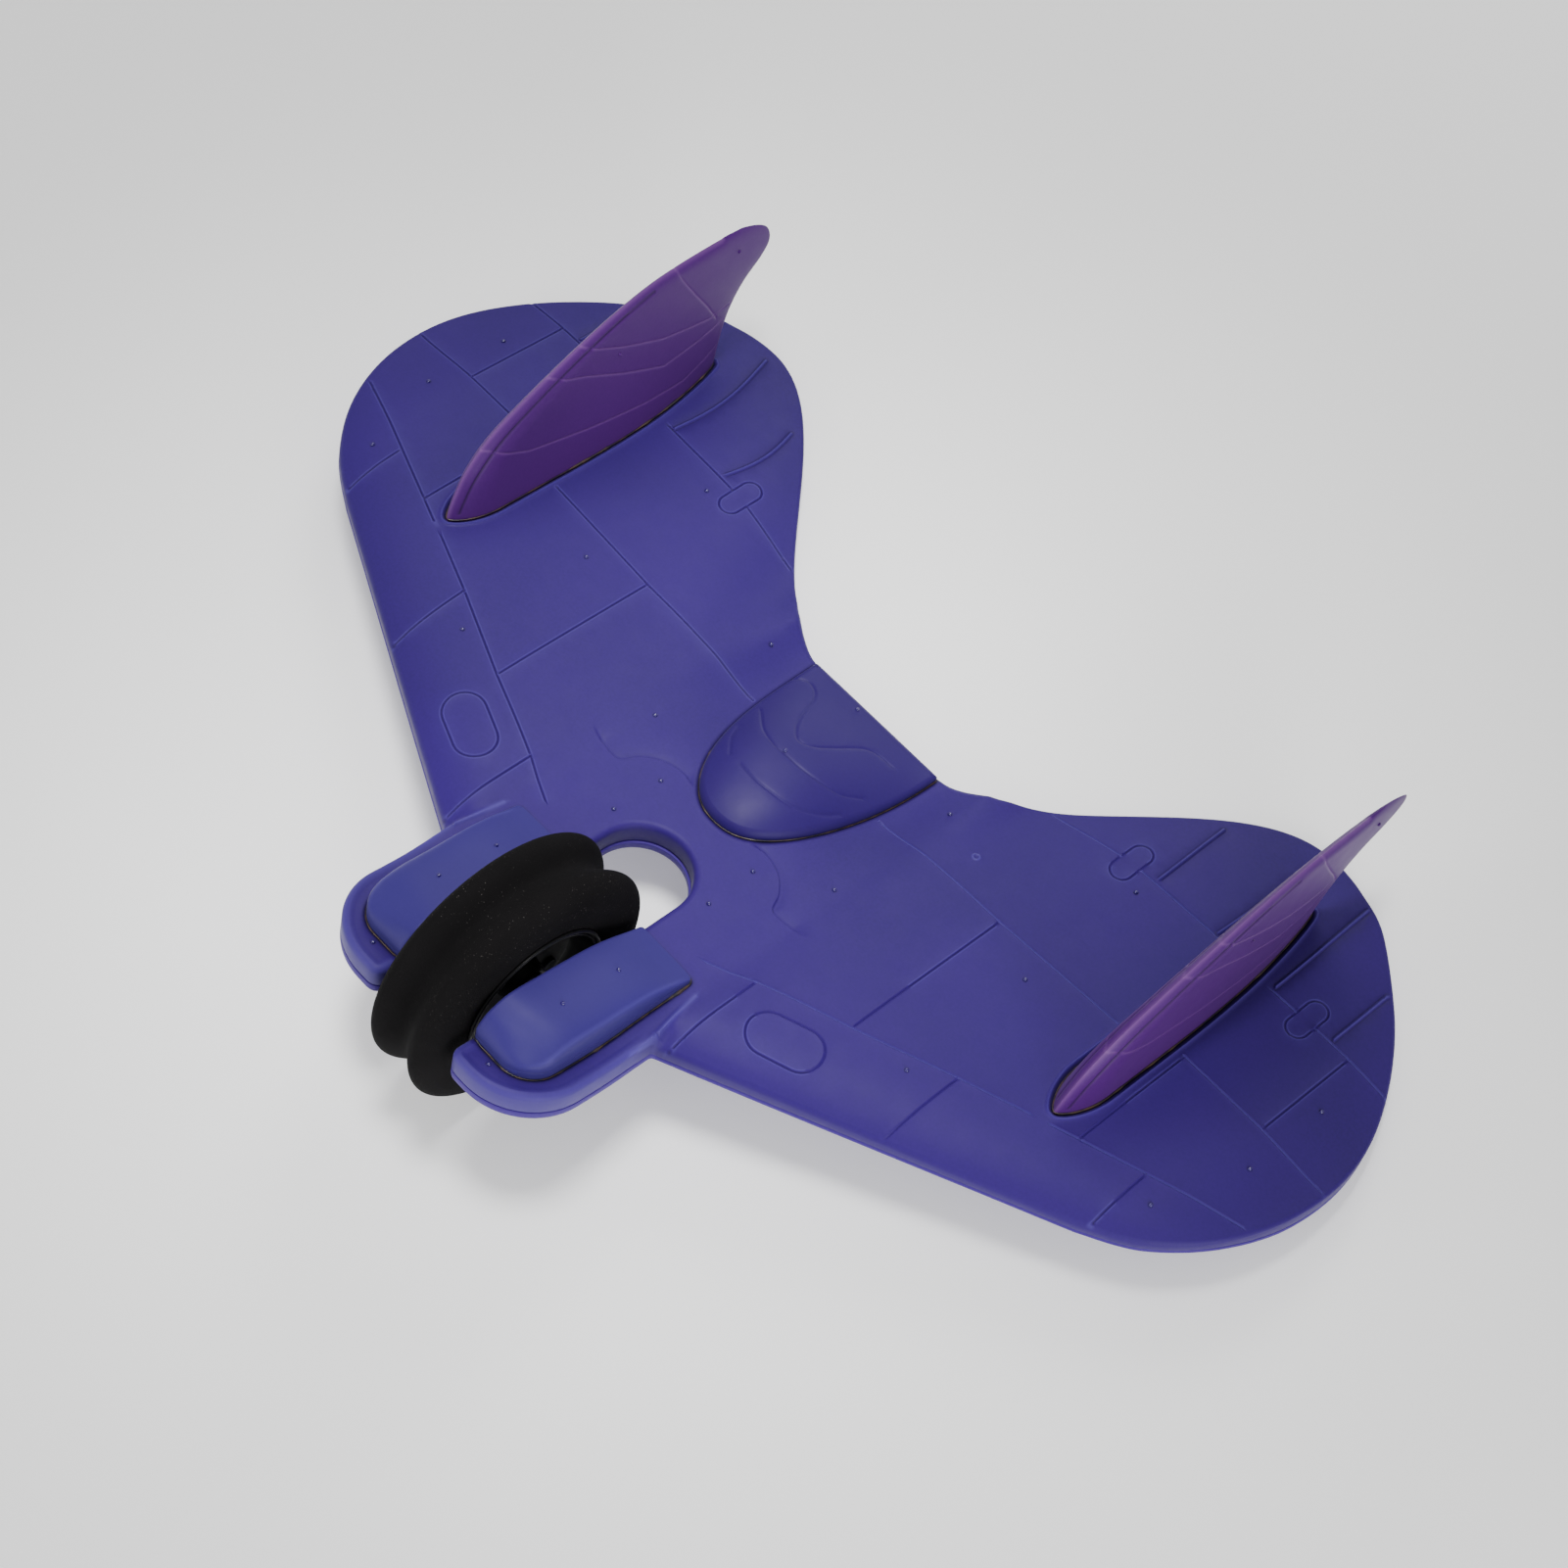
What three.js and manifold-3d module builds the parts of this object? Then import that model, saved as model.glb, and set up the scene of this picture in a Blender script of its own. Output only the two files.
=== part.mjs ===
// A moulded-foam wing board: two bonded foam shells, two upright fins, a tail fairing,
// and a soft nose wheel that turns on an axle held under two raised pads.
// Millimetres. In the board's own frame x spans the wings, the nose points to -y and the
// deck faces +z. The finished group is pitched nose-up, as it rests on wheel and wings.
import * as THREE from 'three';
import { mergeVertices } from 'three/addons/utils/BufferGeometryUtils.js';
import Module from 'manifold-3d';

const wasm = await Module();
wasm.setup();

// ---- Driving dimensions -------------------------------------------------------------

const GAP = 0.3;                   // clearance between neighbouring pieces
const PITCH = 12.5 * Math.PI / 180;

// Board outline
const PRONG_HALF = 54.5;           // half width over the two nose prongs
const NOSE_Y = -55.5;
const NOSE_CORNER = 27;
const SLOT_HALF = 18.5;
const SLOT_LIP = 4;                // small corner where a prong meets the slot
const SLOT_CENTRE_Y = 48;          // centre of the slot's round end
const ROOT_Y = 6;                  // where the leading edge meets a prong
const SWEEP = 0.484;               // leading-edge slope
const TIP_START_X = 193;
const TAIL_HALF = 27;
const TAIL_Y = 166;
const TRAIL_X = 150;               // rearmost point of each wing
const TRAIL_Y = 250;
const HALF_SPAN = 240;

// Thickness and camber
const BODY_THICK = 14.2;
const TIP_THICK = 10;
const TRAIL_PART = 0.36;           // trailing edge as a part of the full thickness
const LEAD_PART = 0.58;            // leading edge likewise
const SEAM_PART = 0.66;            // seam depth below the deck, as a part of thickness
const CROWN = 4;
const LEAD_DROOP = 6;
const TAIL_DROP = 7;               // the deck falls this far under the tail fairing
const NOSE_LIFT = 6;               // both prongs turn up this far by the nose
const KICK_LOW = -9;               // trailing-edge height beside the tail
const KICK_RISE = 15;              // and how far it rises towards x = TRAIL_X
const TIP_FALL = 10;

// Wheel
const WHEEL_Y = -12.8;
const WHEEL_Z = -5;
const WHEEL_R = 50.5;
const TYRE_HALF = 15;
const LOBE_X = 9.7;                // crest of each tread lobe
const GROOVE = 5.6;
const SHOULDER = 10;
const HUB_R = 29;
const RIM_WALL = 2.4;
const WEB = 3;
const BOSS_R = 9;
const BOSS_X = 11;
const HUB_SCREW_RING = 19;
const AXLE_R = 2.5;
const AXLE_HALF = 39;
const BUSH_R = 4.2;
const SPACER_R = 3.4;
const BLOCK = { x0: 24, x1: 41, depth: 22, z0: -9.1, z1: 1.8 };
const SCREW_R = 1.4;
const SCREW_HEAD_R = 2.8;
const SCREW_OFFSET = 7.6;

// Pads on the prongs
const PAD = { x0: 19, x1: 45.4, y0: -45, y1: 30.5, corner: 13, heel: 1.6 };
const PAD_WALL = 3.5;              // upright foot of its outer side
const PAD_SWELL = 6;               // power of the curve from that foot up to the top
const PAD_SLOPE = 0.28;            // share of the height lost from the crest to the shoulder
const PAD_LIP = 1.3;               // rounding along the inner edge
const PAD_LAG = 8;                 // the outer side climbs from its front this much later
const PAD_CREST = [[9.8, -45], [13.2, -43], [16.9, -39.3], [19.6, -31.3], [18, -18.3],
  [16, -5], [14.2, 4], [11.2, 13.3], [6.6, 23.3], [3.2, 30.5]];

// Tail fairing
const FAIRING = { y0: 82.3, y1: 165, half: 32.5, power: 2.3, crown: 9, edge: 2.6 };

// Fins
const FIN_X = 159.5;
const FIN_CANT = 0.071;
const FIN_TOP = 70.6;
const FIN_ROOT = 2;                // depth of the root in its recess
const FIN_THICK = 15.5;
const FIN_TIP_THICK = 3.4;
const FIN_NOSE_POWER = 0.75;       // makes the leading edge blunt
const FIN_TAIL_POWER = 1.3;        // and the trailing edge thin
const FIN_LEAD = [[92.5, -8], [93, 4], [96.5, 14], [102, 23.5], [112.5, 34], [130.5, 44.5],
  [150.5, 54.2], [168.5, 61.6], [187, 67.2], [205.5, 69.8], [222, FIN_TOP]];
const FIN_TRAIL = [[226, -8], [227.5, 10], [229.5, 22], [232.5, 32], [238, 41.5],
  [246, 50], [249.2, 56.5], [247, 63.5], [241, 67.8], [233, FIN_TOP]];

// ---- Colours --------------------------------------------------------------------------

const finish = (color, roughness) =>
  new THREE.MeshStandardMaterial({ color, roughness, metalness: 0 });
const steel = () =>
  new THREE.MeshStandardMaterial({ color: 0x303135, roughness: 0.45, metalness: 1 });

// ---- Solids -----------------------------------------------------------------------------

function solid(geometry) {
  const bare = geometry.clone();
  bare.deleteAttribute('normal');
  bare.deleteAttribute('uv');
  const merged = mergeVertices(bare, 1e-4);
  return new wasm.Manifold(new wasm.Mesh({
    numProp: 3,
    vertProperties: new Float32Array(merged.attributes.position.array),
    triVerts: new Uint32Array(merged.index.array),
  }));
}

function geometryOf(manifold) {
  const { vertProperties, triVerts } = manifold.getMesh();
  const geometry = new THREE.BufferGeometry();
  geometry.setAttribute('position', new THREE.BufferAttribute(vertProperties, 3));
  geometry.setIndex(new THREE.BufferAttribute(triVerts, 1));
  geometry.computeVertexNormals();
  return geometry;
}

function reshape(geometry, place) {
  const position = geometry.attributes.position;
  const point = new THREE.Vector3();
  for (let i = 0; i < position.count; i += 1) {
    point.fromBufferAttribute(position, i);
    place(point);
    position.setXYZ(i, point.x, point.y, point.z);
  }
  return geometry;
}

function box(x0, x1, y0, y1, z0, z1) {
  const block = new THREE.BoxGeometry(x1 - x0, y1 - y0, z1 - z0);
  return block.translate((x0 + x1) / 2, (y0 + y1) / 2, (z0 + z1) / 2);
}

// A round bar along x, between two x values.
function barX(radius, x0, x1, y, z, sides = 24) {
  const bar = new THREE.CylinderGeometry(radius, radius, x1 - x0, sides);
  return bar.rotateZ(Math.PI / 2).translate((x0 + x1) / 2, y, z);
}

function barZ(radius, z0, z1, x, y, sides = 16) {
  const bar = new THREE.CylinderGeometry(radius, radius, z1 - z0, sides);
  return bar.rotateX(Math.PI / 2).translate(x, y, (z0 + z1) / 2);
}

// A turned piece on the wheel's own axis, from [x, radius] pairs that close on themselves.
function turned(profile, sides) {
  const points = profile.map(([x, r]) => new THREE.Vector2(r, x));
  points.push(points[0].clone());
  return new THREE.LatheGeometry(points, sides).rotateZ(-Math.PI / 2);
}

function mirroredX(manifold) {
  return manifold.mirror([1, 0, 0]);
}

// ---- The board's outline and heights ---------------------------------------------------

const clamp01 = (value) => Math.min(1, Math.max(0, value));
const smooth = (low, high, value) => THREE.MathUtils.smoothstep(value, low, high);

const leadingY = (x) => ROOT_Y + SWEEP * (Math.abs(x) - PRONG_HALF);

function trailingY(x) {
  const turn = clamp01((Math.abs(x) - TAIL_HALF) / (TRAIL_X - TAIL_HALF));
  return TAIL_Y + (TRAIL_Y - TAIL_Y) * (1 - Math.cos(Math.PI * turn)) / 2;
}

function halfOutline() {
  const path = new THREE.Path();
  const noseInner = SLOT_HALF + SLOT_LIP;
  path.moveTo(0, SLOT_CENTRE_Y + SLOT_HALF);
  path.absarc(0, SLOT_CENTRE_Y, SLOT_HALF, Math.PI / 2, 0, true);
  path.lineTo(SLOT_HALF, NOSE_Y + SLOT_LIP);
  path.absarc(noseInner, NOSE_Y + SLOT_LIP, SLOT_LIP, Math.PI, 1.5 * Math.PI, false);
  path.lineTo(PRONG_HALF - NOSE_CORNER, NOSE_Y);
  path.absarc(PRONG_HALF - NOSE_CORNER, NOSE_Y + NOSE_CORNER, NOSE_CORNER,
    1.5 * Math.PI, 2 * Math.PI, false);
  path.lineTo(PRONG_HALF, ROOT_Y);
  path.lineTo(TIP_START_X, leadingY(TIP_START_X));
  path.splineThru([[213, 85.5], [229, 105], [238.5, 131], [239.5, 160], [230.5, 188],
    [211, 217], [184, 240.5], [TRAIL_X, TRAIL_Y]].map(([x, y]) => new THREE.Vector2(x, y)));
  for (let step = 1; step <= 14; step += 1) {
    const x = TRAIL_X + (TAIL_HALF - TRAIL_X) * step / 14;
    path.lineTo(x, trailingY(x));
  }
  path.lineTo(0, TAIL_Y);
  return path.getPoints(5);
}

function planform() {
  const right = halfOutline();
  const left = right.slice(1, -1).reverse();
  return new THREE.Shape([...right, ...left.map((p) => new THREE.Vector2(-p.x, p.y))]);
}

function prism(shape, z0, z1) {
  const options = { depth: z1 - z0, bevelEnabled: false, curveSegments: 12 };
  return new THREE.ExtrudeGeometry(shape, options).translate(0, 0, z0);
}

// How far back along the local chord a point lies, from 0 to 1.
function chordPart(x, y) {
  const lead = leadingY(Math.max(Math.abs(x), PRONG_HALF));
  const trail = Math.abs(x) < TRAIL_X ? trailingY(x) : TRAIL_Y;
  return clamp01((y - lead) / (trail - lead));
}

function wingTop(x, y) {
  const u = chordPart(x, y);
  const side = Math.abs(x);
  const kick = KICK_LOW + KICK_RISE * smooth(30, 145, side)
    - TIP_FALL * smooth(165, HALF_SPAN, side);
  const nose = Math.exp(-14 * u);
  return CROWN * (1 - u) * (1 - nose) - LEAD_DROOP * nose + kick * smooth(0.6, 1, u) ** 1.5
    - 3 * smooth(205, HALF_SPAN, side);
}

function tailFall(x, y) {
  return TAIL_DROP * smooth(85, 160, y) * (1 - smooth(34, 60, Math.abs(x)));
}

const bodyTop = (x, y) => NOSE_LIFT * smooth(8, 60, -y) - tailFall(x, y);

// How far a point has left the flat body for the wing. The prong ends at a sharp crest,
// which leans inward and softens towards the tail.
function wingShare(x, y) {
  const crest = PRONG_HALF - 0.5 - 3.5 * smooth(4, 26, y);
  const width = 3 + 26 * smooth(8, 44, y);
  const part = clamp01((Math.abs(x) - crest) / width);
  return smooth(-6, 4, y) * part * (2 - part);
}

function deckHeight(x, y) {
  const share = wingShare(x, y);
  return share * wingTop(x, y) + (1 - share) * bodyTop(x, y);
}

function thickness(x, y) {
  const u = chordPart(x, y);
  const full = BODY_THICK + (TIP_THICK - BODY_THICK) * smooth(60, 220, Math.abs(x));
  const front = LEAD_PART + (1 - LEAD_PART) * smooth(0, 0.25, u);
  const taper = 1 - (1 - TRAIL_PART) * smooth(0.3, 1, u);
  const share = wingShare(x, y);
  return share * full * Math.min(front, taper) + (1 - share) * (BODY_THICK - tailFall(x, y));
}

const hullHeight = (x, y) => deckHeight(x, y) - thickness(x, y);
const seamHeight = (x, y) => deckHeight(x, y) - SEAM_PART * thickness(x, y);

// Columns of the slab, closest together where the wing meets the prong.
const COLUMNS = [0, 10, 20, 30, 40, 48, 51, 54, 55.5, 57.5, 62, 68, 76, 86, 98, 112, 127, 142,
  157, 172, 187, 201, 214, 226, 236, HALF_SPAN + 4];

// A slab a little wider than the board, between two height functions. Its rows follow the
// leading and trailing edges, and lie closer together near the leading edge.
function slab(upper, lower) {
  const count = 2 * (COLUMNS.length - 1);
  const block = new THREE.BoxGeometry(count, 1, 1, count, 15, 1);
  reshape(block, (p) => {
    p.x = Math.sign(p.x) * COLUMNS[Math.round(Math.abs(p.x))];
    const front = NOSE_Y + (leadingY(p.x) - NOSE_Y) * smooth(48, 62, Math.abs(p.x));
    const back = Math.abs(p.x) < TRAIL_X ? trailingY(p.x) : TRAIL_Y;
    p.y = front - 4 + (back - front + 8) * (p.y + 0.5) ** 1.25;
    p.z = p.z > 0 ? upper(p.x, p.y) : lower(p.x, p.y);
  });
  return solid(block);
}

const board = slab(deckHeight, hullHeight).intersect(solid(prism(planform(), -40, 30)));

// A domed cover, its underside fitted to the deck.
function cover(block, top) {
  reshape(block, (p) => p.setZ(p.z > 0 ? top(p.x, p.y) : deckHeight(p.x, p.y) - 2));
  return solid(block).subtract(board.translate([0, 0, GAP]));
}

// Everything more than the given distance above the seam.
function aboveSeam(distance) {
  return slab(() => 40, (x, y) => seamHeight(x, y) + distance);
}

// ---- Fins ---------------------------------------------------------------------------------

// The value at a place along a list of [value, place] pairs.
function valueAt(pairs, place) {
  const next = Math.max(1, pairs.findIndex(([, at]) => at >= place));
  const [v0, p0] = pairs[next - 1];
  const [v1, p1] = pairs[next];
  return v0 + (v1 - v0) * (place - p0) / (p1 - p0);
}

// A fin as a stack of lens sections; grow widens it all round, to cut its recess.
function fin(grow = 0) {
  const levels = 16;
  const tube = new THREE.CylinderGeometry(1, 1, 1, 22, levels).rotateX(Math.PI / 2);
  reshape(tube, (p) => {
    const part = p.z + 0.5;
    const z = part * FIN_TOP;
    const lead = valueAt(FIN_LEAD, z) - grow;
    const trail = valueAt(FIN_TRAIL, z) + grow;
    const y = (lead + trail) / 2 + p.y * (trail - lead) / 2;
    const thick = FIN_THICK + (FIN_TIP_THICK - FIN_THICK) * part ** 0.8;
    const centre = FIN_X + FIN_CANT * z;
    const floor = deckHeight(centre, y) - FIN_ROOT - grow;
    const bulge = Math.abs(p.x) ** (p.y < 0 ? FIN_NOSE_POWER : FIN_TAIL_POWER);
    const x = centre + Math.sign(p.x) * bulge * (thick / 2 + grow);
    p.set(x, y, floor + (z - floor) * smooth(0, 0.2, part) + part * 4 * (1 - smooth(0, 0.2, part)));
  });
  return solid(tube);
}

// ---- Pads and fairing ---------------------------------------------------------------------

// How far a rounded corner draws the edge in, a given distance into the corner.
const cornerLoss = (radius, into) =>
  radius * (1 - Math.sqrt(1 - clamp01(into / radius) ** 2));

// The x of the pad's outer edge.
function padEdge(y) {
  const { x1, y0, y1, corner, heel } = PAD;
  return x1 - cornerLoss(corner, y0 + corner - y) - cornerLoss(heel, y - y1 + heel);
}

// The pad swells from a low outer wall up to a crest along its inner edge.
function padTop(x, y) {
  const across = clamp01((x - PAD.x0) / (padEdge(y) - PAD.x0));
  const deck = bodyTop(x, y);
  const lag = PAD_LAG * across * smooth(0, 12, y - PAD.y0) * (1 - smooth(0, 25, y));
  const crest = valueAt(PAD_CREST, y - lag) - deck;
  const foot = Math.min(PAD_WALL, crest * 0.4);
  const swell = (1 - PAD_SLOPE * across) * (1 - across ** PAD_SWELL) ** (1 / PAD_SWELL);
  const lip = cornerLoss(PAD_LIP, PAD.x0 + PAD_LIP - x);
  return deck + foot + (crest - foot) * swell - lip * Math.min(1, crest / 6);
}

// The left pad, hollowed underneath for its axle block and screw heads.
function pad() {
  const { x0, y0, y1 } = PAD;
  const block = new THREE.BoxGeometry(2, 2, 2, 14, 18, 1);
  const spread = (part) => (1 + Math.sin(Math.PI / 2 * part)) / 2;
  reshape(block, (p) => {
    p.y = y0 + (y1 - y0) * spread(p.y);
    p.x = x0 + (padEdge(p.y) - x0) * spread(p.x);
  });
  const half = BLOCK.depth / 2 + 2;
  const recess = box(BLOCK.x0 - 1, BLOCK.x1 + 1, WHEEL_Y - half, WHEEL_Y + half, -5, 5.2);
  return cover(block, padTop).subtract(solid(recess));
}

function fairingHalf(y) {
  const part = (FAIRING.y1 - y) / (FAIRING.y1 - FAIRING.y0);
  return FAIRING.half * (1 - clamp01(part) ** FAIRING.power) ** (1 / FAIRING.power);
}

function fairingOutline() {
  const side = [];
  for (let step = 0; step <= 12; step += 1) {
    const y = FAIRING.y0 + (FAIRING.y1 - FAIRING.y0) * (step / 12) ** 2;
    side.push(new THREE.Vector2(fairingHalf(y), y));
  }
  const back = side.slice(1).reverse();
  return new THREE.Shape([...side, ...back.map((p) => new THREE.Vector2(-p.x, p.y))]);
}

function fairingTop(x, y) {
  const along = (y - FAIRING.y0) / (FAIRING.y1 - FAIRING.y0);
  const across = Math.min(1, Math.abs(x) / Math.max(1, fairingHalf(y)));
  const swell = Math.sin(Math.PI * clamp01(along) ** 0.8);
  const rise = FAIRING.crown * swell * (1 - across ** 2.4);
  return bodyTop(0, y) + FAIRING.edge + rise;
}

function fairing() {
  const length = FAIRING.y1 - FAIRING.y0 + 2;
  const block = new THREE.BoxGeometry(2 * FAIRING.half + 2, length, 2, 14, 16, 1);
  block.translate(0, (FAIRING.y1 + FAIRING.y0) / 2, 0);
  return cover(block, fairingTop).intersect(solid(prism(fairingOutline(), -30, 30)));
}

// ---- Wheel ----------------------------------------------------------------------------------

function treadRadius(x) {
  const side = Math.abs(x);
  if (side < LOBE_X) return WHEEL_R - GROOVE * (1 + Math.cos(Math.PI * side / LOBE_X)) / 2;
  const part = (side - LOBE_X) / (TYRE_HALF - LOBE_X);
  return WHEEL_R - SHOULDER * (1 - Math.sqrt(Math.max(0, 1 - part * part)));
}

function tyre() {
  const profile = [];
  const steps = 14;
  for (let step = 0; step <= steps; step += 1) {
    const x = TYRE_HALF * Math.sin(Math.PI * (step / steps - 0.5));
    profile.push([x, treadRadius(x)]);
  }
  profile.push([TYRE_HALF - 0.6, HUB_R + GAP], [0.6 - TYRE_HALF, HUB_R + GAP]);
  return turned(profile, 48);
}

// The half of the hub on the +x side.
function hubHalf() {
  const face = GAP / 2;
  const rimX = TYRE_HALF - 0.4;
  const shell = turned([[face, BUSH_R + GAP], [face, HUB_R], [rimX, HUB_R],
    [rimX, HUB_R - RIM_WALL], [WEB + 2, HUB_R - RIM_WALL - 1], [WEB, HUB_R - RIM_WALL - 3],
    [WEB, BOSS_R + 2], [WEB + 1, BOSS_R], [BOSS_X, BOSS_R - 1], [BOSS_X, BUSH_R + GAP]], 40);
  let half = solid(shell);
  hubScrewPlaces().forEach(([y, z]) => {
    half = half.subtract(solid(barX(SCREW_R + GAP, -1, WEB + 1, y, z, 12)));
  });
  return half;
}

function hubScrewPlaces() {
  return [0, 1, 2].map((turn) => {
    const angle = 2 * Math.PI * turn / 3 + Math.PI / 2;
    return [HUB_SCREW_RING * Math.cos(angle), HUB_SCREW_RING * Math.sin(angle)];
  });
}

function hubScrew([y, z]) {
  const head = solid(barX(SCREW_HEAD_R, WEB + GAP, WEB + GAP + 1.6, y, z, 16));
  return head.add(solid(barX(SCREW_R, 0.5 - WEB, WEB + GAP + 0.2, y, z, 12)));
}

function bushing() {
  const bore = AXLE_R + GAP;
  return turned([[0.5, bore], [0.5, BUSH_R], [BOSS_X + GAP, BUSH_R], [BOSS_X + GAP, BUSH_R + 2.3],
    [BOSS_X + 1.3, BUSH_R + 2.3], [BOSS_X + 1.3, bore]], 20);
}

function spacer() {
  const bore = AXLE_R + GAP;
  const x0 = BOSS_X + 1.3 + GAP;
  const x1 = BLOCK.x0 - GAP;
  return turned([[x0, bore], [x0, SPACER_R], [x1, SPACER_R], [x1, bore]], 20);
}

// A pillow block for the axle, with two screws down through its feet.
function axleBlock() {
  const { x0, x1, depth, z0, z1 } = BLOCK;
  const foot = solid(box(x0, x1, WHEEL_Y - depth / 2, WHEEL_Y + depth / 2, z0, z1));
  const ridge = solid(barX(5.4, x0, x1, WHEEL_Y, WHEEL_Z + 3.4, 24));
  const screwX = (x0 + x1) / 2;
  let block = foot.add(ridge).subtract(solid(barX(AXLE_R + GAP, x0 - 1, x1 + 1, WHEEL_Y, WHEEL_Z)));
  [-1, 1].forEach((side) => {
    const y = WHEEL_Y + side * SCREW_OFFSET;
    block = block.subtract(solid(barZ(SCREW_R + GAP, z0 - 1, z1 + 1, screwX, y)));
  });
  return block;
}

function blockScrew(side) {
  const x = (BLOCK.x0 + BLOCK.x1) / 2;
  const y = WHEEL_Y + side * SCREW_OFFSET;
  const head = solid(barZ(SCREW_HEAD_R, BLOCK.z1 + GAP, BLOCK.z1 + GAP + 1.8, x, y));
  return head.add(solid(barZ(SCREW_R, -12.6, BLOCK.z1 + GAP + 0.2, x, y)));
}

// ---- Cuts in the two foam shells -------------------------------------------------------------

function both(shape) {
  return shape.add(mirroredX(shape));
}

function blockPocket() {
  const { x0, x1, depth, z0 } = BLOCK;
  const half = depth / 2 + GAP;
  return both(solid(box(x0 - GAP, x1 + GAP, WHEEL_Y - half, WHEEL_Y + half, z0 - GAP, 5)));
}

function deckShell() {
  const bore = solid(barX(SPACER_R + GAP, SLOT_HALF - 2, BLOCK.x0 + 1, WHEEL_Y, WHEEL_Z));
  return board.intersect(aboveSeam(GAP / 2))
    .subtract(blockPocket())
    .subtract(both(bore))
    .subtract(both(fin(GAP)));
}

function hullShell() {
  const x = (BLOCK.x0 + BLOCK.x1) / 2;
  let shell = board.subtract(aboveSeam(-GAP / 2)).subtract(blockPocket());
  [-1, 1].forEach((side) => {
    const hole = solid(barZ(SCREW_R + GAP, -13, 0, x, WHEEL_Y + side * SCREW_OFFSET));
    shell = shell.subtract(both(hole));
  });
  return shell;
}

// ---- Assembly ----------------------------------------------------------------------------------

const craft = new THREE.Group();
const wheel = new THREE.Group();
wheel.position.set(0, WHEEL_Y, WHEEL_Z);
craft.add(wheel);

function place(group, name, shape, material) {
  const geometry = shape.isBufferGeometry ? shape : geometryOf(shape);
  const mesh = new THREE.Mesh(geometry, material);
  mesh.name = name;
  group.add(mesh);
}

// Puts a +x piece on the left of the board and its mirror image on the right.
function placePair(group, name, shape, material) {
  const left = shape.isBufferGeometry ? solid(shape) : shape;
  place(group, `left_${name}`, left, material);
  place(group, `right_${name}`, mirroredX(left), material.clone());
}

place(craft, 'deck_shell', deckShell(), finish(0x46429b, 0.62));
place(craft, 'hull_shell', hullShell(), finish(0x5d55ad, 0.62));
place(craft, 'tail_fairing', fairing(), finish(0x3d3a90, 0.55));
placePair(craft, 'fin', fin(), finish(0x5c3090, 0.55));
placePair(craft, 'pad', pad(), finish(0x4f58ad, 0.6));
placePair(craft, 'axle_block', axleBlock(), finish(0x202124, 0.5));
placePair(craft, 'front_block_screw', blockScrew(-1), steel());
placePair(craft, 'rear_block_screw', blockScrew(1), steel());
place(craft, 'axle', barX(AXLE_R, -AXLE_HALF, AXLE_HALF, WHEEL_Y, WHEEL_Z), steel());

const spacers = new THREE.Group();
spacers.position.copy(wheel.position);
craft.add(spacers);
placePair(spacers, 'axle_spacer', spacer(), finish(0x2a2b2e, 0.4));

place(wheel, 'tyre', tyre(), finish(0x1b1a1b, 0.9));
placePair(wheel, 'hub_half', hubHalf(), finish(0x101012, 0.3));
placePair(wheel, 'hub_bushing', bushing(), finish(0x1c1c1f, 0.4));
hubScrewPlaces().forEach((at, index) => {
  place(wheel, `hub_screw_${index + 1}`, hubScrew(at), steel());
});

const assembly = new THREE.Group();
assembly.add(craft);
craft.rotation.x = -PITCH;
craft.updateMatrixWorld(true);
const bounds = new THREE.Box3().setFromObject(craft, true);
craft.position.set(0, -(bounds.min.y + bounds.max.y) / 2, -bounds.min.z);

export default assembly;
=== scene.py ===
"""Looks for a moulded-foam wing board with a soft nose wheel, built around its CAD frame.

Lengths are millimetres in the board's own frame (x across the span, nose to -y, deck to +z)
until row_frame() turns them into metres in the shared frame.
"""

import math
import random

import bpy
import numpy as np
from mathutils import Matrix, Vector
from mathutils.geometry import delaunay_2d_cdt
from mathutils.kdtree import KDTree


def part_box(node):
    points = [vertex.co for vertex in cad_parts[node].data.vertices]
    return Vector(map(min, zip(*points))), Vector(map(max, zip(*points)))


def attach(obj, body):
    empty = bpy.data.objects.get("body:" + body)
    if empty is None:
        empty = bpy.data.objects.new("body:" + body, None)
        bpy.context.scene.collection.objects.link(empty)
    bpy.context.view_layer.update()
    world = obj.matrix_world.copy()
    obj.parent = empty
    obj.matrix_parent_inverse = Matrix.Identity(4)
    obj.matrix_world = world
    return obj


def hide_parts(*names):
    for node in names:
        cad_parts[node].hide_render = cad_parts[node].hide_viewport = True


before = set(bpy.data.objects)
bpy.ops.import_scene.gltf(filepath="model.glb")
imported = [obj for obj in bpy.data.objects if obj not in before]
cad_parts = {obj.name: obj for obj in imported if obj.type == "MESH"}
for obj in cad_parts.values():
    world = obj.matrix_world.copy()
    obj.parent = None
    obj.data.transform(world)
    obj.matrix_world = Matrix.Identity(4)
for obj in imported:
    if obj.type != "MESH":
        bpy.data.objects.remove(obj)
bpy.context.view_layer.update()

# ---- The two frames --------------------------------------------

PITCH = math.radians(12.5)
WHEEL_Y, WHEEL_Z = -12.8, -5.0
LEAN = np.array([[1, 0, 0],
                 [0, math.cos(PITCH), math.sin(PITCH)],
                 [0, -math.sin(PITCH), math.cos(PITCH)]])
AXLE_LOW, AXLE_HIGH = (np.array(corner) * 1000 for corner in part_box("axle"))
AXLE_MIDDLE = (AXLE_LOW + AXLE_HIGH) / 2
SHIFT = AXLE_MIDDLE - LEAN @ np.array([0, WHEEL_Y, WHEEL_Z])
SHIFT[0] = 0


def row_frame(points):
    return (np.asarray(points, float) @ LEAN.T + SHIFT) / 1000


# ---- Board outline and heights, as in the CAD ------------------

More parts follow.
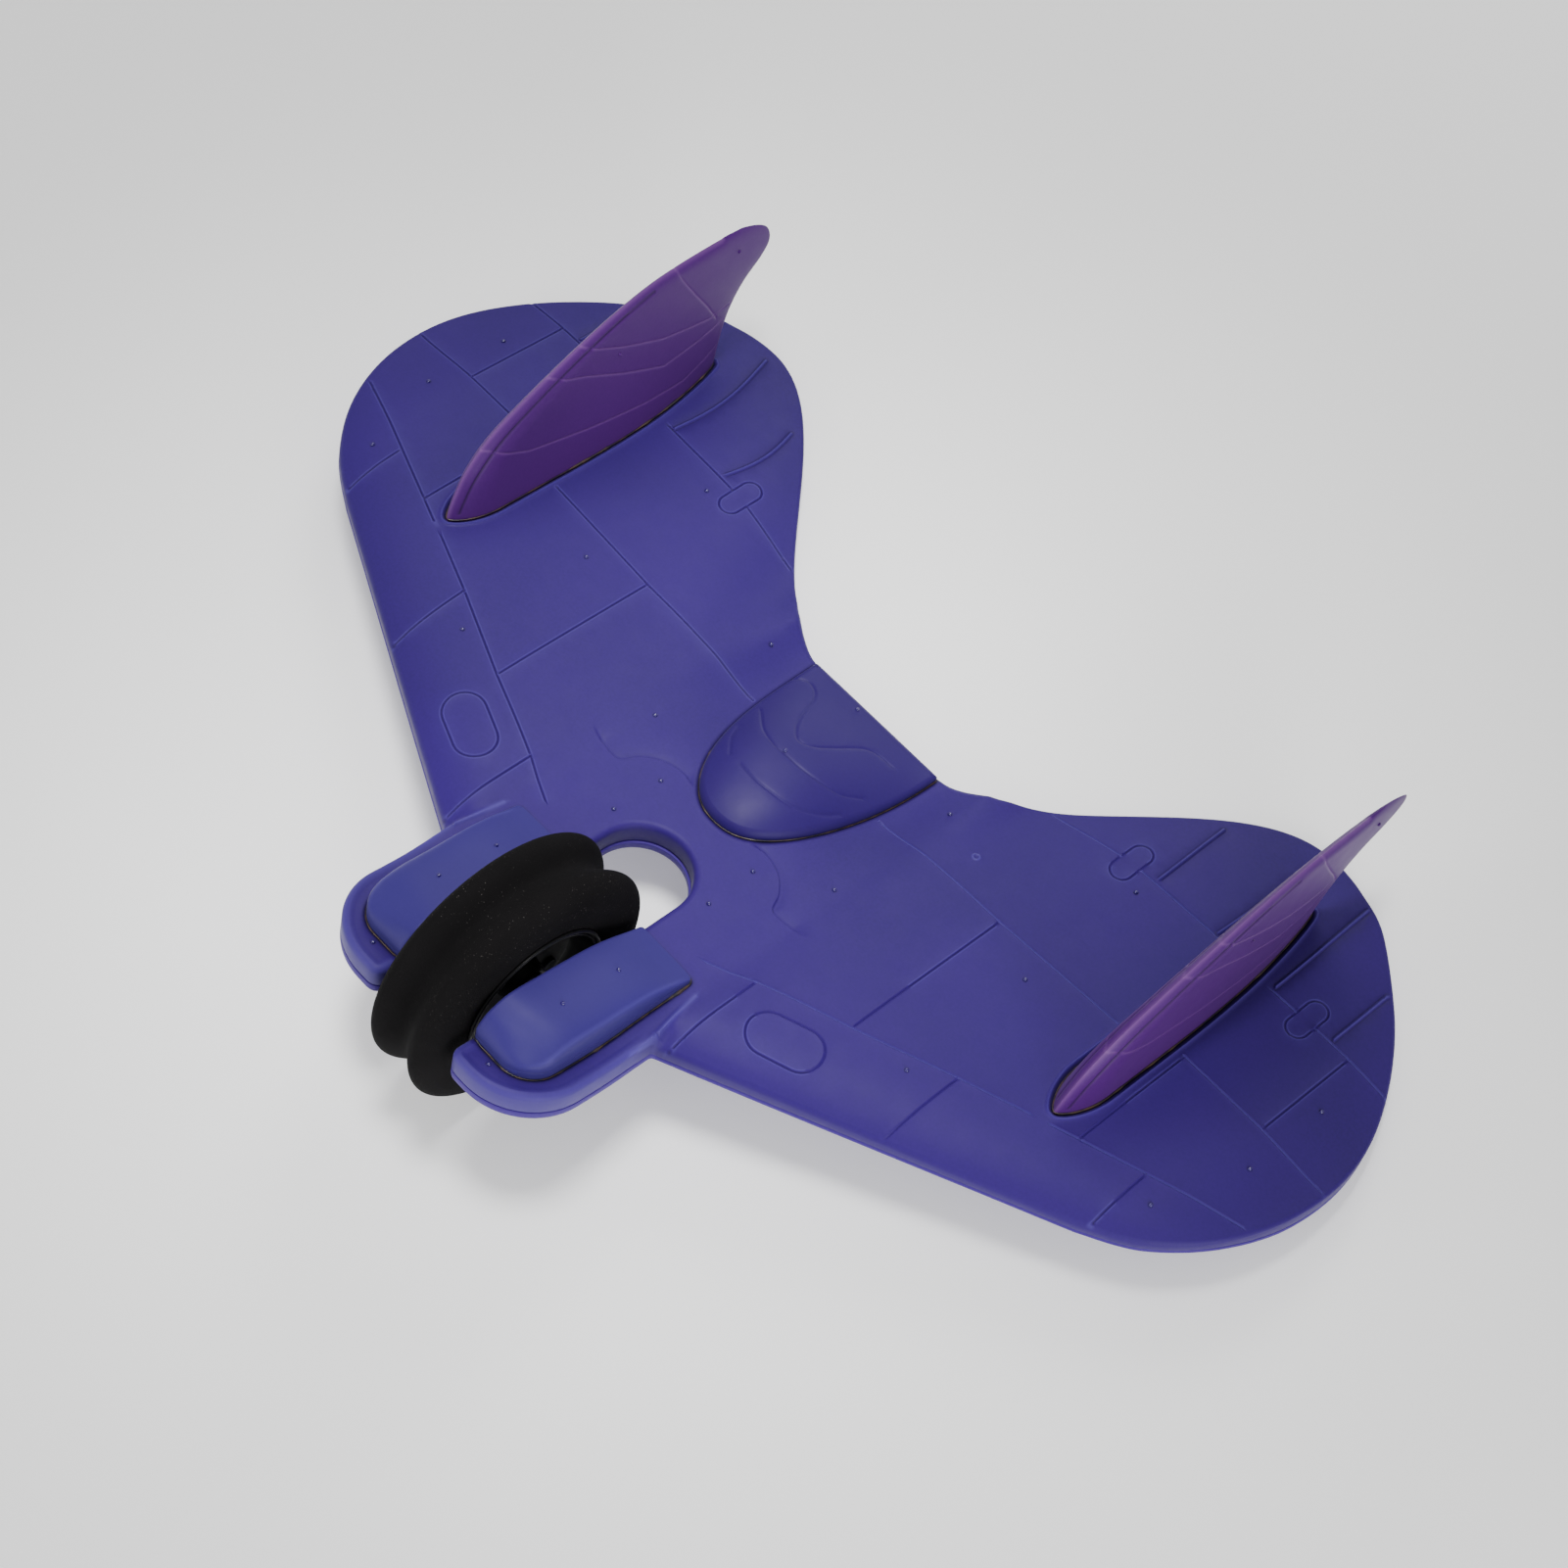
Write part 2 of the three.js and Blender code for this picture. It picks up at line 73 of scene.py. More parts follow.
PRONG_HALF, NOSE_Y, NOSE_CORNER = 54.5, -55.5, 27.0
SLOT_HALF, SLOT_LIP, SLOT_CENTRE_Y = 18.5, 4.0, 48.0
ROOT_Y, SWEEP, TIP_START_X = 6.0, 0.484, 193.0
TAIL_HALF, TAIL_Y, TRAIL_X, TRAIL_Y, HALF_SPAN = 27.0, 166.0, 150.0, 250.0, 240.0
BODY_THICK, TIP_THICK, TRAIL_PART, LEAD_PART, SEAM_PART = 14.2, 10.0, 0.36, 0.58, 0.66
CROWN, LEAD_DROOP, TAIL_DROP, KICK_LOW, KICK_RISE, TIP_FALL = 4.0, 6.0, 7.0, -9.0, 15.0, 10.0
NOSE_LIFT = 6.0
# Rounder than the solids' tip at its rear end, where it runs into the trailing edge.
TIP_CURVE = [(213, 85.5), (229, 105), (238.5, 131), (239.5, 160), (230.5, 188), (211, 217),
             (184, 240.5), (167, 247.2), (157, 249.5), (150, 250)]


def smooth(low, high, value):
    t = np.clip((value - low) / (high - low), 0, 1)
    return t * t * (3 - 2 * t)


def leading_y(x):
    return ROOT_Y + SWEEP * (np.abs(x) - PRONG_HALF)


def trailing_y(x):
    turn = np.clip((np.abs(x) - TAIL_HALF) / (TRAIL_X - TAIL_HALF), 0, 1)
    return TAIL_Y + (TRAIL_Y - TAIL_Y) * (1 - np.cos(math.pi * turn)) / 2


def chord_part(x, y):
    lead = leading_y(np.maximum(np.abs(x), PRONG_HALF))
    trail = np.where(np.abs(x) < TRAIL_X, trailing_y(x), TRAIL_Y)
    return np.clip((y - lead) / (trail - lead), 0, 1)


def wing_share(x, y):
    """How far a point has left the flat body for the wing, past the prong's sharp crest."""
    crest = PRONG_HALF - 0.5 - 3.5 * smooth(4, 26, y)
    part = np.clip((np.abs(x) - crest) / (3 + 26 * smooth(8, 44, y)), 0, 1)
    return smooth(-6, 4, y) * part * (2 - part)


def wing_top(x, y):
    u, side = chord_part(x, y), np.abs(x)
    kick = KICK_LOW + KICK_RISE * smooth(30, 145, side) - TIP_FALL * smooth(165, HALF_SPAN, side)
    nose = np.exp(-14 * u)
    return (CROWN * (1 - u) * (1 - nose) - LEAD_DROOP * nose
            + kick * smooth(0.6, 1, u) ** 1.5 - 3 * smooth(205, HALF_SPAN, side))


def tail_fall(x, y):
    return TAIL_DROP * smooth(85, 160, y) * (1 - smooth(34, 60, np.abs(x)))


def body_top(x, y):
    return NOSE_LIFT * smooth(8, 60, -y) - tail_fall(x, y)


def plain_deck(x, y):
    share = wing_share(x, y)
    return share * wing_top(x, y) + (1 - share) * body_top(x, y)


def thickness(x, y):
    u = chord_part(x, y)
    full = BODY_THICK + (TIP_THICK - BODY_THICK) * smooth(60, 220, np.abs(x))
    front = LEAD_PART + (1 - LEAD_PART) * smooth(0, 0.25, u)
    taper = 1 - (1 - TRAIL_PART) * smooth(0.3, 1, u)
    share = wing_share(x, y)
    return share * full * np.minimum(front, taper) + (1 - share) * (BODY_THICK - tail_fall(x, y))


def hull_z(p):
    return plain_deck(p[:, 0], p[:, 1]) - thickness(p[:, 0], p[:, 1])


def seam_z(p):
    return plain_deck(p[:, 0], p[:, 1]) - SEAM_PART * thickness(p[:, 0], p[:, 1])


# ---- Plane curves ----------------------------------------------

LEAST_CORNER = 0.6
BATCH = 3_000_000


def arc(cx, cy, radius, start, end, steps=24):
    turn = np.radians(np.linspace(start, end, steps))
    return np.column_stack((cx + radius * np.cos(turn), cy + radius * np.sin(turn)))


def spline(points, steps=16):
    """A smooth curve through the points, drawn as the CAD draws its own."""
    p = np.asarray(points, float)
    rows = []
    for i in range(len(p) - 1):
        before, after = p[max(i - 1, 0)], p[min(i + 2, len(p) - 1)]
        v0, v1 = (p[i + 1] - before) / 2, (after - p[i]) / 2
        t = np.linspace(0, 1, steps, endpoint=False)[:, None]
        rows.append((2 * p[i] - 2 * p[i + 1] + v0 + v1) * t**3
                    + (-3 * p[i] + 3 * p[i + 1] - 2 * v0 - v1) * t**2 + v0 * t + p[i])
    return np.vstack(rows + [p[-1:]])


def resample(points, spacing, closed=False):
    p = np.asarray(points, float)
    if closed:
        p = np.vstack((p, p[:1]))
    run = np.concatenate(([0], np.cumsum(np.linalg.norm(np.diff(p, axis=0), axis=1))))
    count = max(2, int(round(run[-1] / spacing)) + 1)
    at = np.linspace(0, run[-1], count)
    out = np.column_stack([np.interp(at, run, p[:, k]) for k in range(p.shape[1])])
    return out[:-1] if closed else out


def relaxed(loop, rounds):
    """A closed loop with its corners eased."""
    for _ in range(rounds):
        loop = loop / 2 + (np.roll(loop, 1, 0) + np.roll(loop, -1, 0)) / 4
    return loop


def left_of(way):
    return np.column_stack((-way[:, 1], way[:, 0]))


def inward(loop):
    """Unit vectors pointing into a closed loop, lengthened at corners so insets stay parallel."""
    ahead = np.roll(loop, -1, 0) - loop
    ahead /= np.linalg.norm(ahead, axis=1)[:, None]
    x, y = loop.T
    area = np.sum(x * np.roll(y, -1) - y * np.roll(x, -1))
    after = left_of(ahead) * np.sign(area)
    total = after + np.roll(after, 1, 0)
    total /= np.linalg.norm(total, axis=1)[:, None]
    reach = np.maximum(np.sum(total * after, axis=1), LEAST_CORNER)
    return total / reach[:, None]


def mirrored(points):
    return np.asarray(points, float) * np.array([-1, 1])


def folded(points):
    """The points' x and y, with the right wing laid over the left."""
    return np.column_stack((np.abs(points[:, 0]), points[:, 1]))


def bell(distance, width, height=1.0):
    """A soft bump across a line: height on the line, and near nothing two widths away."""
    return height * np.exp(-((distance / width) ** 2))


def spans_to(points, start, span):
    """From each point to each straight span: its offset, its place along and distance squared."""
    offset = points[:, None, :] - start[None]
    size = np.maximum(np.sum(span * span, axis=1), 1e-12)
    along = np.clip(np.sum(offset * span[None], axis=2) / size, 0, 1)
    gap = offset - along[..., None] * span[None]
    return offset, along, np.sum(gap * gap, axis=2)


def distance_to(points, line, closed=False):
    """Distance from each point to a polyline."""
    line = np.asarray(line, float)
    if closed:
        line = np.vstack((line, line[:1]))
    start, span = line[:-1], np.diff(line, axis=0)
    out = np.empty(len(points))
    step = max(1, BATCH // len(start))
    for i in range(0, len(points), step):
        squares = spans_to(points[i:i + step], start, span)[2]
        out[i:i + step] = np.sqrt(np.min(squares, axis=1))
    return out


def over_lines(points, lines, width, height):
    """A soft bump along every one of the lines."""
    return sum(bell(distance_to(points, line), width, height) for line in lines)


def side_of(points, line):
    """Distance to an open line, positive to the left of its direction, and the part along it."""
    line = np.asarray(line, float)
    start, span = line[:-1], np.diff(line, axis=0)
    offset, along, squares = spans_to(points, start, span)
    best = np.argmin(squares, axis=1)
    pick = np.arange(len(points))
    beside = offset[pick, best]
    cross = span[best, 0] * beside[:, 1] - span[best, 1] * beside[:, 0]
    return np.sign(cross) * np.sqrt(squares[pick, best]), (best + along[pick, best]) / len(start)


def in_box(points, line, margin):
    low, high = np.min(line, axis=0) - margin, np.max(line, axis=0) + margin
    return np.all((points > low) & (points < high), axis=1)


def near(points, line, margin, closed=False):
    """Which points are within a line's box and margin, and how far those are from the line."""
    m = in_box(points, line, margin)
    return m, distance_to(points[m], line, closed)


def inside(points, loop):
    x, y = loop.T
    x2, y2 = np.roll(x, -1), np.roll(y, -1)
    rise = np.where(y2 == y, 1e-12, y2 - y)
    out = np.zeros(len(points), bool)
    step = max(1, BATCH // len(loop))
    for i in range(0, len(points), step):
        px, py = points[i:i + step, 0:1], points[i:i + step, 1:2]
        crossing = ((y > py) != (y2 > py)) & (px < (x2 - x) * (py - y) / rise + x)
        out[i:i + step] = np.sum(crossing, axis=1) % 2 == 1
    return out


def board_loop():
    front = [arc(0, SLOT_CENTRE_Y, SLOT_HALF, 90, 0, 40),
             arc(SLOT_HALF + SLOT_LIP, NOSE_Y + SLOT_LIP, SLOT_LIP, 180, 270, 10),
             arc(PRONG_HALF - NOSE_CORNER, NOSE_Y + NOSE_CORNER, NOSE_CORNER, 270, 360, 40),
             [(PRONG_HALF, ROOT_Y)],
             spline([(TIP_START_X, leading_y(TIP_START_X))] + TIP_CURVE)]
    x = np.linspace(TRAIL_X, TAIL_HALF, 80)[1:]
    half = np.vstack(front + [np.column_stack((x, trailing_y(x))), [(0, TAIL_Y)]])
    loop = np.vstack((half, mirrored(half[1:-1][::-1])))
    return relaxed(resample(loop, 1.1, closed=True), 2)


BOARD = board_loop()


# ---- Meshes ----------------------------------------------------

RIM_STEPS = 6


def add_mesh(name, points, faces, material, body, stands_for, crease, tone=None):
    """Makes a mesh of points already in the row frame, and puts it on a CAD body. tone lightens
    (above 0) or darkens (below 0) the foam at each point."""
    mesh = bpy.data.meshes.new(name)
    mesh.from_pydata(np.asarray(points).tolist(), [], [list(map(int, f)) for f in faces])
    mesh.validate()
    mesh.polygons.foreach_set("use_smooth", [True] * len(mesh.polygons))
    mesh.set_sharp_from_angle(angle=math.radians(crease))
    # tone holds painted highlights (above 0) and painted shade (below 0) for the foam.
    if tone is not None:
        mesh.attributes.new("tone", "FLOAT", "POINT").data.foreach_set("value", tone.astype("f"))
    mesh.materials.append(material)
    piece = bpy.data.objects.new(name, mesh)
    bpy.context.scene.collection.objects.link(piece)
    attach(piece, body)
    if stands_for:
        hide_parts(*stands_for)
    return piece


def strips(count, rings, closed=False):
    """Quads from each ring of count points to the next, and if closed the last to the first."""
    faces = []
    for k in range(rings if closed else rings - 1):
        a, b = k * count, (k + 1) % rings * count
        for i in range(count):
            j = (i + 1) % count
            faces.append((a + i, b + i, b + j, a + j))
    return faces


def thinned(points, nearest):
    """Points in order, leaving out any that lies closer than nearest to one kept before it."""
    cells, kept = {}, []
    for i, (x, y) in enumerate(points):
        cx, cy = int(x // nearest), int(y // nearest)
        others = (q for u in (cx - 1, cx, cx + 1) for v in (cy - 1, cy, cy + 1)
                  for q in cells.get((u, v), ()))
        if all((q[0] - x) ** 2 + (q[1] - y) ** 2 >= nearest * nearest for q in others):
            cells.setdefault((cx, cy), []).append((x, y))
            kept.append(i)
    return np.asarray(points)[kept]


def grid_over(loop, pitch, features=None, clear=1.8):
    """A staggered grid of points, kept clear of the feature points."""
    low, high = loop.min(0), loop.max(0)
    rows = []
    for k, y in enumerate(np.arange(low[1], high[1], pitch * 0.87)):
        x = np.arange(low[0] + (k % 2) * pitch / 2, high[0], pitch)
        rows.append(np.column_stack((x, np.full(len(x), y))))
    grid = np.vstack(rows)
    if features is None:
        return grid
    tree = KDTree(len(features))
    for i, p in enumerate(features):
        tree.insert((p[0], p[1], 0), i)
    tree.balance()
    return grid[[tree.find((p[0], p[1], 0))[2] > clear for p in grid]]


def cap(ring, points, clear):
    """Triangles that fill a ring, through the points inside it. Returns the points used too."""
    points = points[inside(points, ring)]
    points = points[distance_to(points, ring, closed=True) > clear]
    every = np.vstack((ring, points))
    edges = [(i, (i + 1) % len(ring)) for i in range(len(ring))]
    _, _, faces, came_from, _, _ = delaunay_2d_cdt([Vector(p) for p in every], edges, [], 0,
                                                   1e-7, True)
    source = [o[0] if o else -1 for o in came_from]
    faces = [[source[i] for i in f] for f in faces]
    middles = np.array([every[f].mean(0) for f in faces])
    return points, [f for f, keep in zip(faces, inside(middles, ring)) if keep]


def slab(loop, rings, top, low, top_points=(), low_points=(), clear=0.5):
    """A closed body over a loop. rings lists (inset, height) from top to bottom, where height is
    a function of the ring's points. Returns its points as (plane x, plane y, height) and faces."""
    normal = inward(loop)
    made = []
    for inset, height in rings:
        flat = loop + normal * np.reshape(inset, (-1, 1))
        made.append(np.column_stack((flat, height(flat))))
    count = len(loop)
    faces = strips(count, len(made))
    verts = list(made)
    total = count * len(made)
    for ring, base, surface, extra, flip in (
            (made[0], 0, top, top_points, True),
            (made[-1], count * (len(made) - 1), low, low_points, False)):
        used, tris = cap(ring[:, :2], np.asarray(extra, float).reshape(-1, 2), clear)
        verts.append(np.column_stack((used, surface(used))))
        for tri in tris:
            ids = [base + i if i < count else total + i - count for i in tri]
            faces.append(ids[::-1] if flip else ids)
        total += len(used)
    return np.vstack(verts), faces


def raised(surface, rise):
    """The surface moved up by rise, as another function of plane points."""
    return lambda p: surface(p) + rise


def outward(verts, faces):
    """The faces, turned over if the body would be inside out."""
    v = np.asarray(verts)
    volume = sum(np.dot(v[f[0]], np.cross(v[f[i]], v[f[i + 1]]))
                 for f in faces for i in range(1, len(f) - 1))
    return faces if volume > 0 else [f[::-1] for f in faces]


def place(name, built, material, stands_for=(), crease=38, tone=None):
    """Puts a built piece of the board in the scene, the right way out."""
    verts, faces = built
    return add_mesh(name, row_frame(verts), outward(verts, faces), material, "board",
                    stands_for, crease, tone)


def rounding(radius):
    """(inset, part of the drop) pairs for a rounded rim, from the flat top out to the wall."""
    turn = np.linspace(0, math.pi / 2, RIM_STEPS)
    return [(radius * (1 - math.sin(t)), 1 - math.cos(t)) for t in turn]


def rows_along(lines, distances, spacing):
    """Points in rows along each polyline, and at the distances on both sides of it."""
    out = []
    for line in lines:
        p = resample(line, spacing)
        way = np.gradient(p, axis=0)
        way /= np.maximum(np.linalg.norm(way, axis=1), 1e-9)[:, None]
        side = left_of(way)
        out.append(p)
        for distance in distances:
            out += [p + side * distance, p - side * distance]
    return np.vstack(out)


# ---- Relief on the deck ----------------------------------------

GROOVE_DEPTH, RIB_HEIGHT, STEP_DROP, LIP_OUT = 0.36, 0.6, 1.3, 1.9

SPAN_GROOVES = [
    [(42.3, 40), (59.3, 47.7), (93.3, 60.7), (130, 76.3), (155, 86)],
    [(161.7, 88.3), (173.3, 92.7), (230, 114)],
    [(33.3, 133.3), (93.3, 133.7), (148.3, 136.7)],
    [(171.7, 146), (240.7, 146)],
    [(70, 186.7), (100, 190.3)], [(108.7, 191), (146.7, 192.7)],
    [(173.3, 192), (184.3, 192.3)], [(193, 192.7), (228.3, 192.7)],
]
CHORD_GROOVES = [
    [(59.3, 8), (59.3, 47.7)],
    [(93.3, 61.7), (93.3, 133.7)],
    [(129.3, 42.7), (130, 76.3)],
    [(172.3, 92.7), (172.3, 146)],
    [(209, 146.7), (209, 192.7)],
    [(196, 76), (196, 100)],
]
GROOVES = SPAN_GROOVES + CHORD_GROOVES
RIBS = [[(115.7, 194), (115.7, 228)], [(144.7, 194), (148, 244)], [(172.7, 194), (172.7, 242.7)],
        [(200.3, 194.7), (200.3, 223.3)]]


def bowed(line, bow):
    """A straight line bent sideways into a shallow curve."""
    start, end = np.array(line)
    part = np.linspace(0, 1, 12)[:, None]
    return start + (end - start) * part + (bow, 0) * np.sin(math.pi * part)


RIGHT_RIBS = [bowed(line, bow) for line, bow in zip(RIBS, (-2.6, -3.4, 0, 0))]


def obround(cx, cy, reach, half, degrees):
    """A long rounded loop round a middle point, reach and half being its half sizes."""
    run = reach - half
    ends = np.vstack((arc(run, 0, half, -90, 90, 14), arc(-run, 0, half, 90, 270, 14)))
    turn = math.radians(degrees)
    spin = np.array([[math.cos(turn), -math.sin(turn)], [math.sin(turn), math.cos(turn)]])
    return np.vstack((ends, ends[:1])) @ spin.T + (cx, cy)


HATCHES = [obround(82.7, 39.3, 14.3, 8, 22), obround(104.3, 191, 9.7, 4.3, 90),
           obround(188.7, 193, 9.7, 4.3, 90)]
# The raised middle of the board ends at this step, beside the front of the fairing.
PLATEAU = spline([(57.3, 74.7), (50, 73), (40.7, 72.7), (36.7, 79.3), (30.7, 84.7), (22, 87.3),
                  (14.7, 85.7)], 8)
# The prongs run out over the wings along this ridge.
PRONG_RIDGE = spline([(54.3, -5.3), (53.7, 6.3), (52.3, 14), (51.3, 20.3), (50.3, 28)], 8)

PAD_X0, PAD_X1, PAD_Y0, PAD_Y1, PAD_CORNER, PAD_HEEL = 19.0, 45.4, -45.0, 30.5, 13.0, 1.6
PAD_WALL, PAD_SWELL, PAD_SLOPE, PAD_LIP, PAD_LAG = 3.5, 6.0, 0.28, 1.3, 8.0
PAD_CREST = [(-45, 9.8), (-43, 13.2), (-39.3, 16.9), (-31.3, 19.6), (-18.3, 18), (-5, 16),
             (4, 14.2), (13.3, 11.2), (23.3, 6.6), (30.5, 3.2)]
FAIRING_Y0, FAIRING_Y1, FAIRING_HALF = 82.3, 165.0, 32.5
FAIRING_POWER, FAIRING_CROWN, FAIRING_EDGE = 2.3, 9.0, 2.6


def pad_loop():
    front, heel, lip = PAD_CORNER, PAD_HEEL, 1.2
    return resample(np.vstack((arc(PAD_X0 + lip, PAD_Y0 + lip, lip, 180, 270, 8),
                               arc(PAD_X1 - front, PAD_Y0 + front, front, 270, 360, 24),
                               arc(PAD_X1 - heel, PAD_Y1 - heel, heel, 0, 90, 10),
                               arc(PAD_X0 + lip, PAD_Y1 - lip, lip, 90, 180, 8))), 0.7, closed=True)


def fairing_half(y):
    part = np.clip((FAIRING_Y1 - y) / (FAIRING_Y1 - FAIRING_Y0), 0, 1)
    return FAIRING_HALF * (1 - part ** FAIRING_POWER) ** (1 / FAIRING_POWER)


def fairing_loop():
    y = FAIRING_Y0 + (FAIRING_Y1 - FAIRING_Y0) * np.linspace(0, 1, 90) ** 2
    side = np.column_stack((fairing_half(y), y))
    return relaxed(resample(np.vstack((side, mirrored(side[1:][::-1]))), 0.8, closed=True), 1)


FIN_X, FIN_CANT, FIN_TOP, FIN_THICK, FIN_TIP_THICK = 159.5, 0.071, 70.6, 15.5, 3.4
FIN_LEAD = [(92.5, -8), (93, 4), (96.5, 14), (102, 23.5), (112.5, 34), (130.5, 44.5),
            (150.5, 54.2), (168.5, 61.6), (187, 67.2), (205.5, 69.8), (222, FIN_TOP)]
FIN_TRAIL = [(226, -8), (227.5, 10), (229.5, 22), (232.5, 32), (238, 41.5), (246, 50),
             (249.2, 56.5), (247, 63.5), (241, 67.8), (233, FIN_TOP)]
FIN_FRONT, FIN_BACK = spline(FIN_LEAD, 12), spline(FIN_TRAIL, 12)


def fin_half_thickness(y, z):
    """Half the fin's thickness at a point of its side view: a blunt nose and a thin tail."""
    lead = np.interp(z, np.maximum.accumulate(FIN_FRONT[:, 1]), FIN_FRONT[:, 0])
    trail = np.interp(z, np.maximum.accumulate(FIN_BACK[:, 1]), FIN_BACK[:, 0])
    u = np.clip((y - lead) / (trail - lead), 0, 1)
    full = FIN_THICK + (FIN_TIP_THICK - FIN_THICK) * np.clip(z / FIN_TOP, 0, 1) ** 0.8
    reach = (1.35 - 0.35 * smooth(0, 30, z)) * full
    behind = np.clip(distance_to(np.column_stack((y, z)), FIN_FRONT) / reach, 0, 1)
    nose = (1 - (1 - behind) ** 2) ** 0.75
    tail = (1 - np.clip((u - 0.4) / 0.6, 0, 1) ** 2) ** 0.65
    top = np.clip((FIN_TOP - z) / 4.0, 0, 1)
    return full / 2 * nose * tail * np.sqrt(1 - (1 - top) ** 2)


def fin_root():
    """The closed line where the left fin meets the deck."""
    ends = np.array([92.5, 226.3])
    low = plain_deck(np.full(2, FIN_X), ends)
    ends = [np.interp(low[0], FIN_FRONT[:, 1], FIN_FRONT[:, 0]) + 0.1,
            np.interp(low[1], FIN_BACK[:, 1], FIN_BACK[:, 0]) - 0.1]
    y = ends[0] + (ends[1] - ends[0]) * (1 - np.cos(np.linspace(0, math.pi, 120))) / 2
    z = plain_deck(np.full_like(y, FIN_X), y)
    half = fin_half_thickness(y, z) + 0.15
    middle = FIN_X + FIN_CANT * z
    loop = np.vstack((np.column_stack((middle + half, y)),
                      np.column_stack((middle - half, y))[::-1][1:-1]))
    return relaxed(resample(loop, 0.8, closed=True), 1)


PAD_LINE, FAIRING_LINE, FIN_LINE = pad_loop(), fairing_loop(), fin_root()


def groove_relief(p):
    """Fine grooves between raised lips, for the panel lines and hatches."""
    out = np.zeros(len(p))
    for line in GROOVES + HATCHES:
        m, d = near(p, line, 2.5)
        groove = np.minimum(out[m], bell(d, 0.3, -GROOVE_DEPTH))
        out[m] = np.where(d < 0.45, groove, out[m] + bell(d - 0.75, 0.3, 0.12))
    return out


def over_ribs(points, profile):
    """The profile of the distance to each rib, added up. The points' x tells the wings apart."""
    p, out = folded(points), np.zeros(len(points))
    for left, right in zip(RIBS, RIGHT_RIBS):
        m = in_box(p, left, 7)
        to_rib = [distance_to(p[m], rib) for rib in (left, right)]
        out[m] += profile(np.where(points[m, 0] > 0, *to_rib))
    return out


def rib_relief(points):
    """Raised ribs, with a shallow gutter along both sides."""
    return over_ribs(points, lambda d: bell(d, 0.45, RIB_HEIGHT) + bell(d - 1.0, 0.4, -0.2))


def crest_relief(p):
    """The plateau's step, falling away outward and fading at both ends, and the prong's ridge."""
    out = np.zeros(len(p))
    m = in_box(p, PLATEAU, 12)
    s, along = side_of(p[m], PLATEAU)
    fade = smooth(0, 0.2, along) * (1 - smooth(0.86, 1, along))
    outside = np.minimum(s, 0)
    out[m] -= fade * STEP_DROP * np.exp(outside / 3.4) * smooth(0, 0.9, -outside)
    m = in_box(p, PRONG_RIDGE, 12)
    s, along = side_of(p[m], PRONG_RIDGE)
    fade = smooth(0, 0.2, along) * (1 - smooth(0.6, 1, along))
    out[m] += fade * bell(s, 0.9, 0.7)
    return out


def seat_relief(p):
    """Sunk seats for the pads, fairing and fins, with room for glue round them and then a lip."""
    out = np.zeros(len(p))
    for line, lip, sunk in ((PAD_LINE, 0.0, 0.5), (FAIRING_LINE, 0.1, 0.5), (FIN_LINE, 0.8, 0.9)):
        m, d = near(p, line, 6, closed=True)
        d = np.where(inside(p[m], line), 0, d)
        out[m] += bell(d - LIP_OUT, 0.6, lip) - sunk * np.exp(-((d / 0.75) ** 3))
    return out


def relief(points):
    """Height of the moulded detail above the plain deck."""
    p = folded(points)
    return groove_relief(p) + rib_relief(points) + crest_relief(p) + seat_relief(p)


NUBS = [(25, 57), (24.3, 78.7), (47.3, 96.7), (47.7, 155.3), (116.7, 64.3), (116, 123.3),
        (114.3, 182.7), (204.7, 94.3), (216.7, 131.3), (217, 169), (30, -47.7)]
RING_AT, RING_R = (67.7, 148.0), 1.3


def ring_mark(points):
    """One small moulded ring, on the left wing only."""
    return bell(np.hypot(*(points - RING_AT).T) - RING_R, 0.4)


def prong_part(p):
    """1 on the prongs, falling to 0 where they join the wings."""
    return (1 - smooth(-8, 10, p[:, 1])) * (1 - smooth(54, 60, p[:, 0]))


def prong_rim(points):
    """The shelf round each pad lies a little lower than the board's rim."""
    p = folded(points)
    share = prong_part(p)
    m = share > 0.001
    out = np.zeros(len(p))
    d = distance_to(p[m], BOARD, closed=True)
    out[m] = -0.5 * share[m] * smooth(2.4, 4.6, d)
    return out


def bare_deck(points):
    return plain_deck(*points.T)


def shelf(points):
    return bare_deck(points) + prong_rim(points)


def deck_top(points):
    return shelf(points) + relief(points) + 0.4 * ring_mark(points)


# ---- Materials -------------------------------------------------

def linear(hexcode):
    parts = [int(hexcode[i:i + 2], 16) / 255 for i in (0, 2, 4)]
    return tuple(v / 12.92 if v <= 0.04045 else ((v + 0.055) / 1.055) ** 2.4 for v in parts) + (1,)


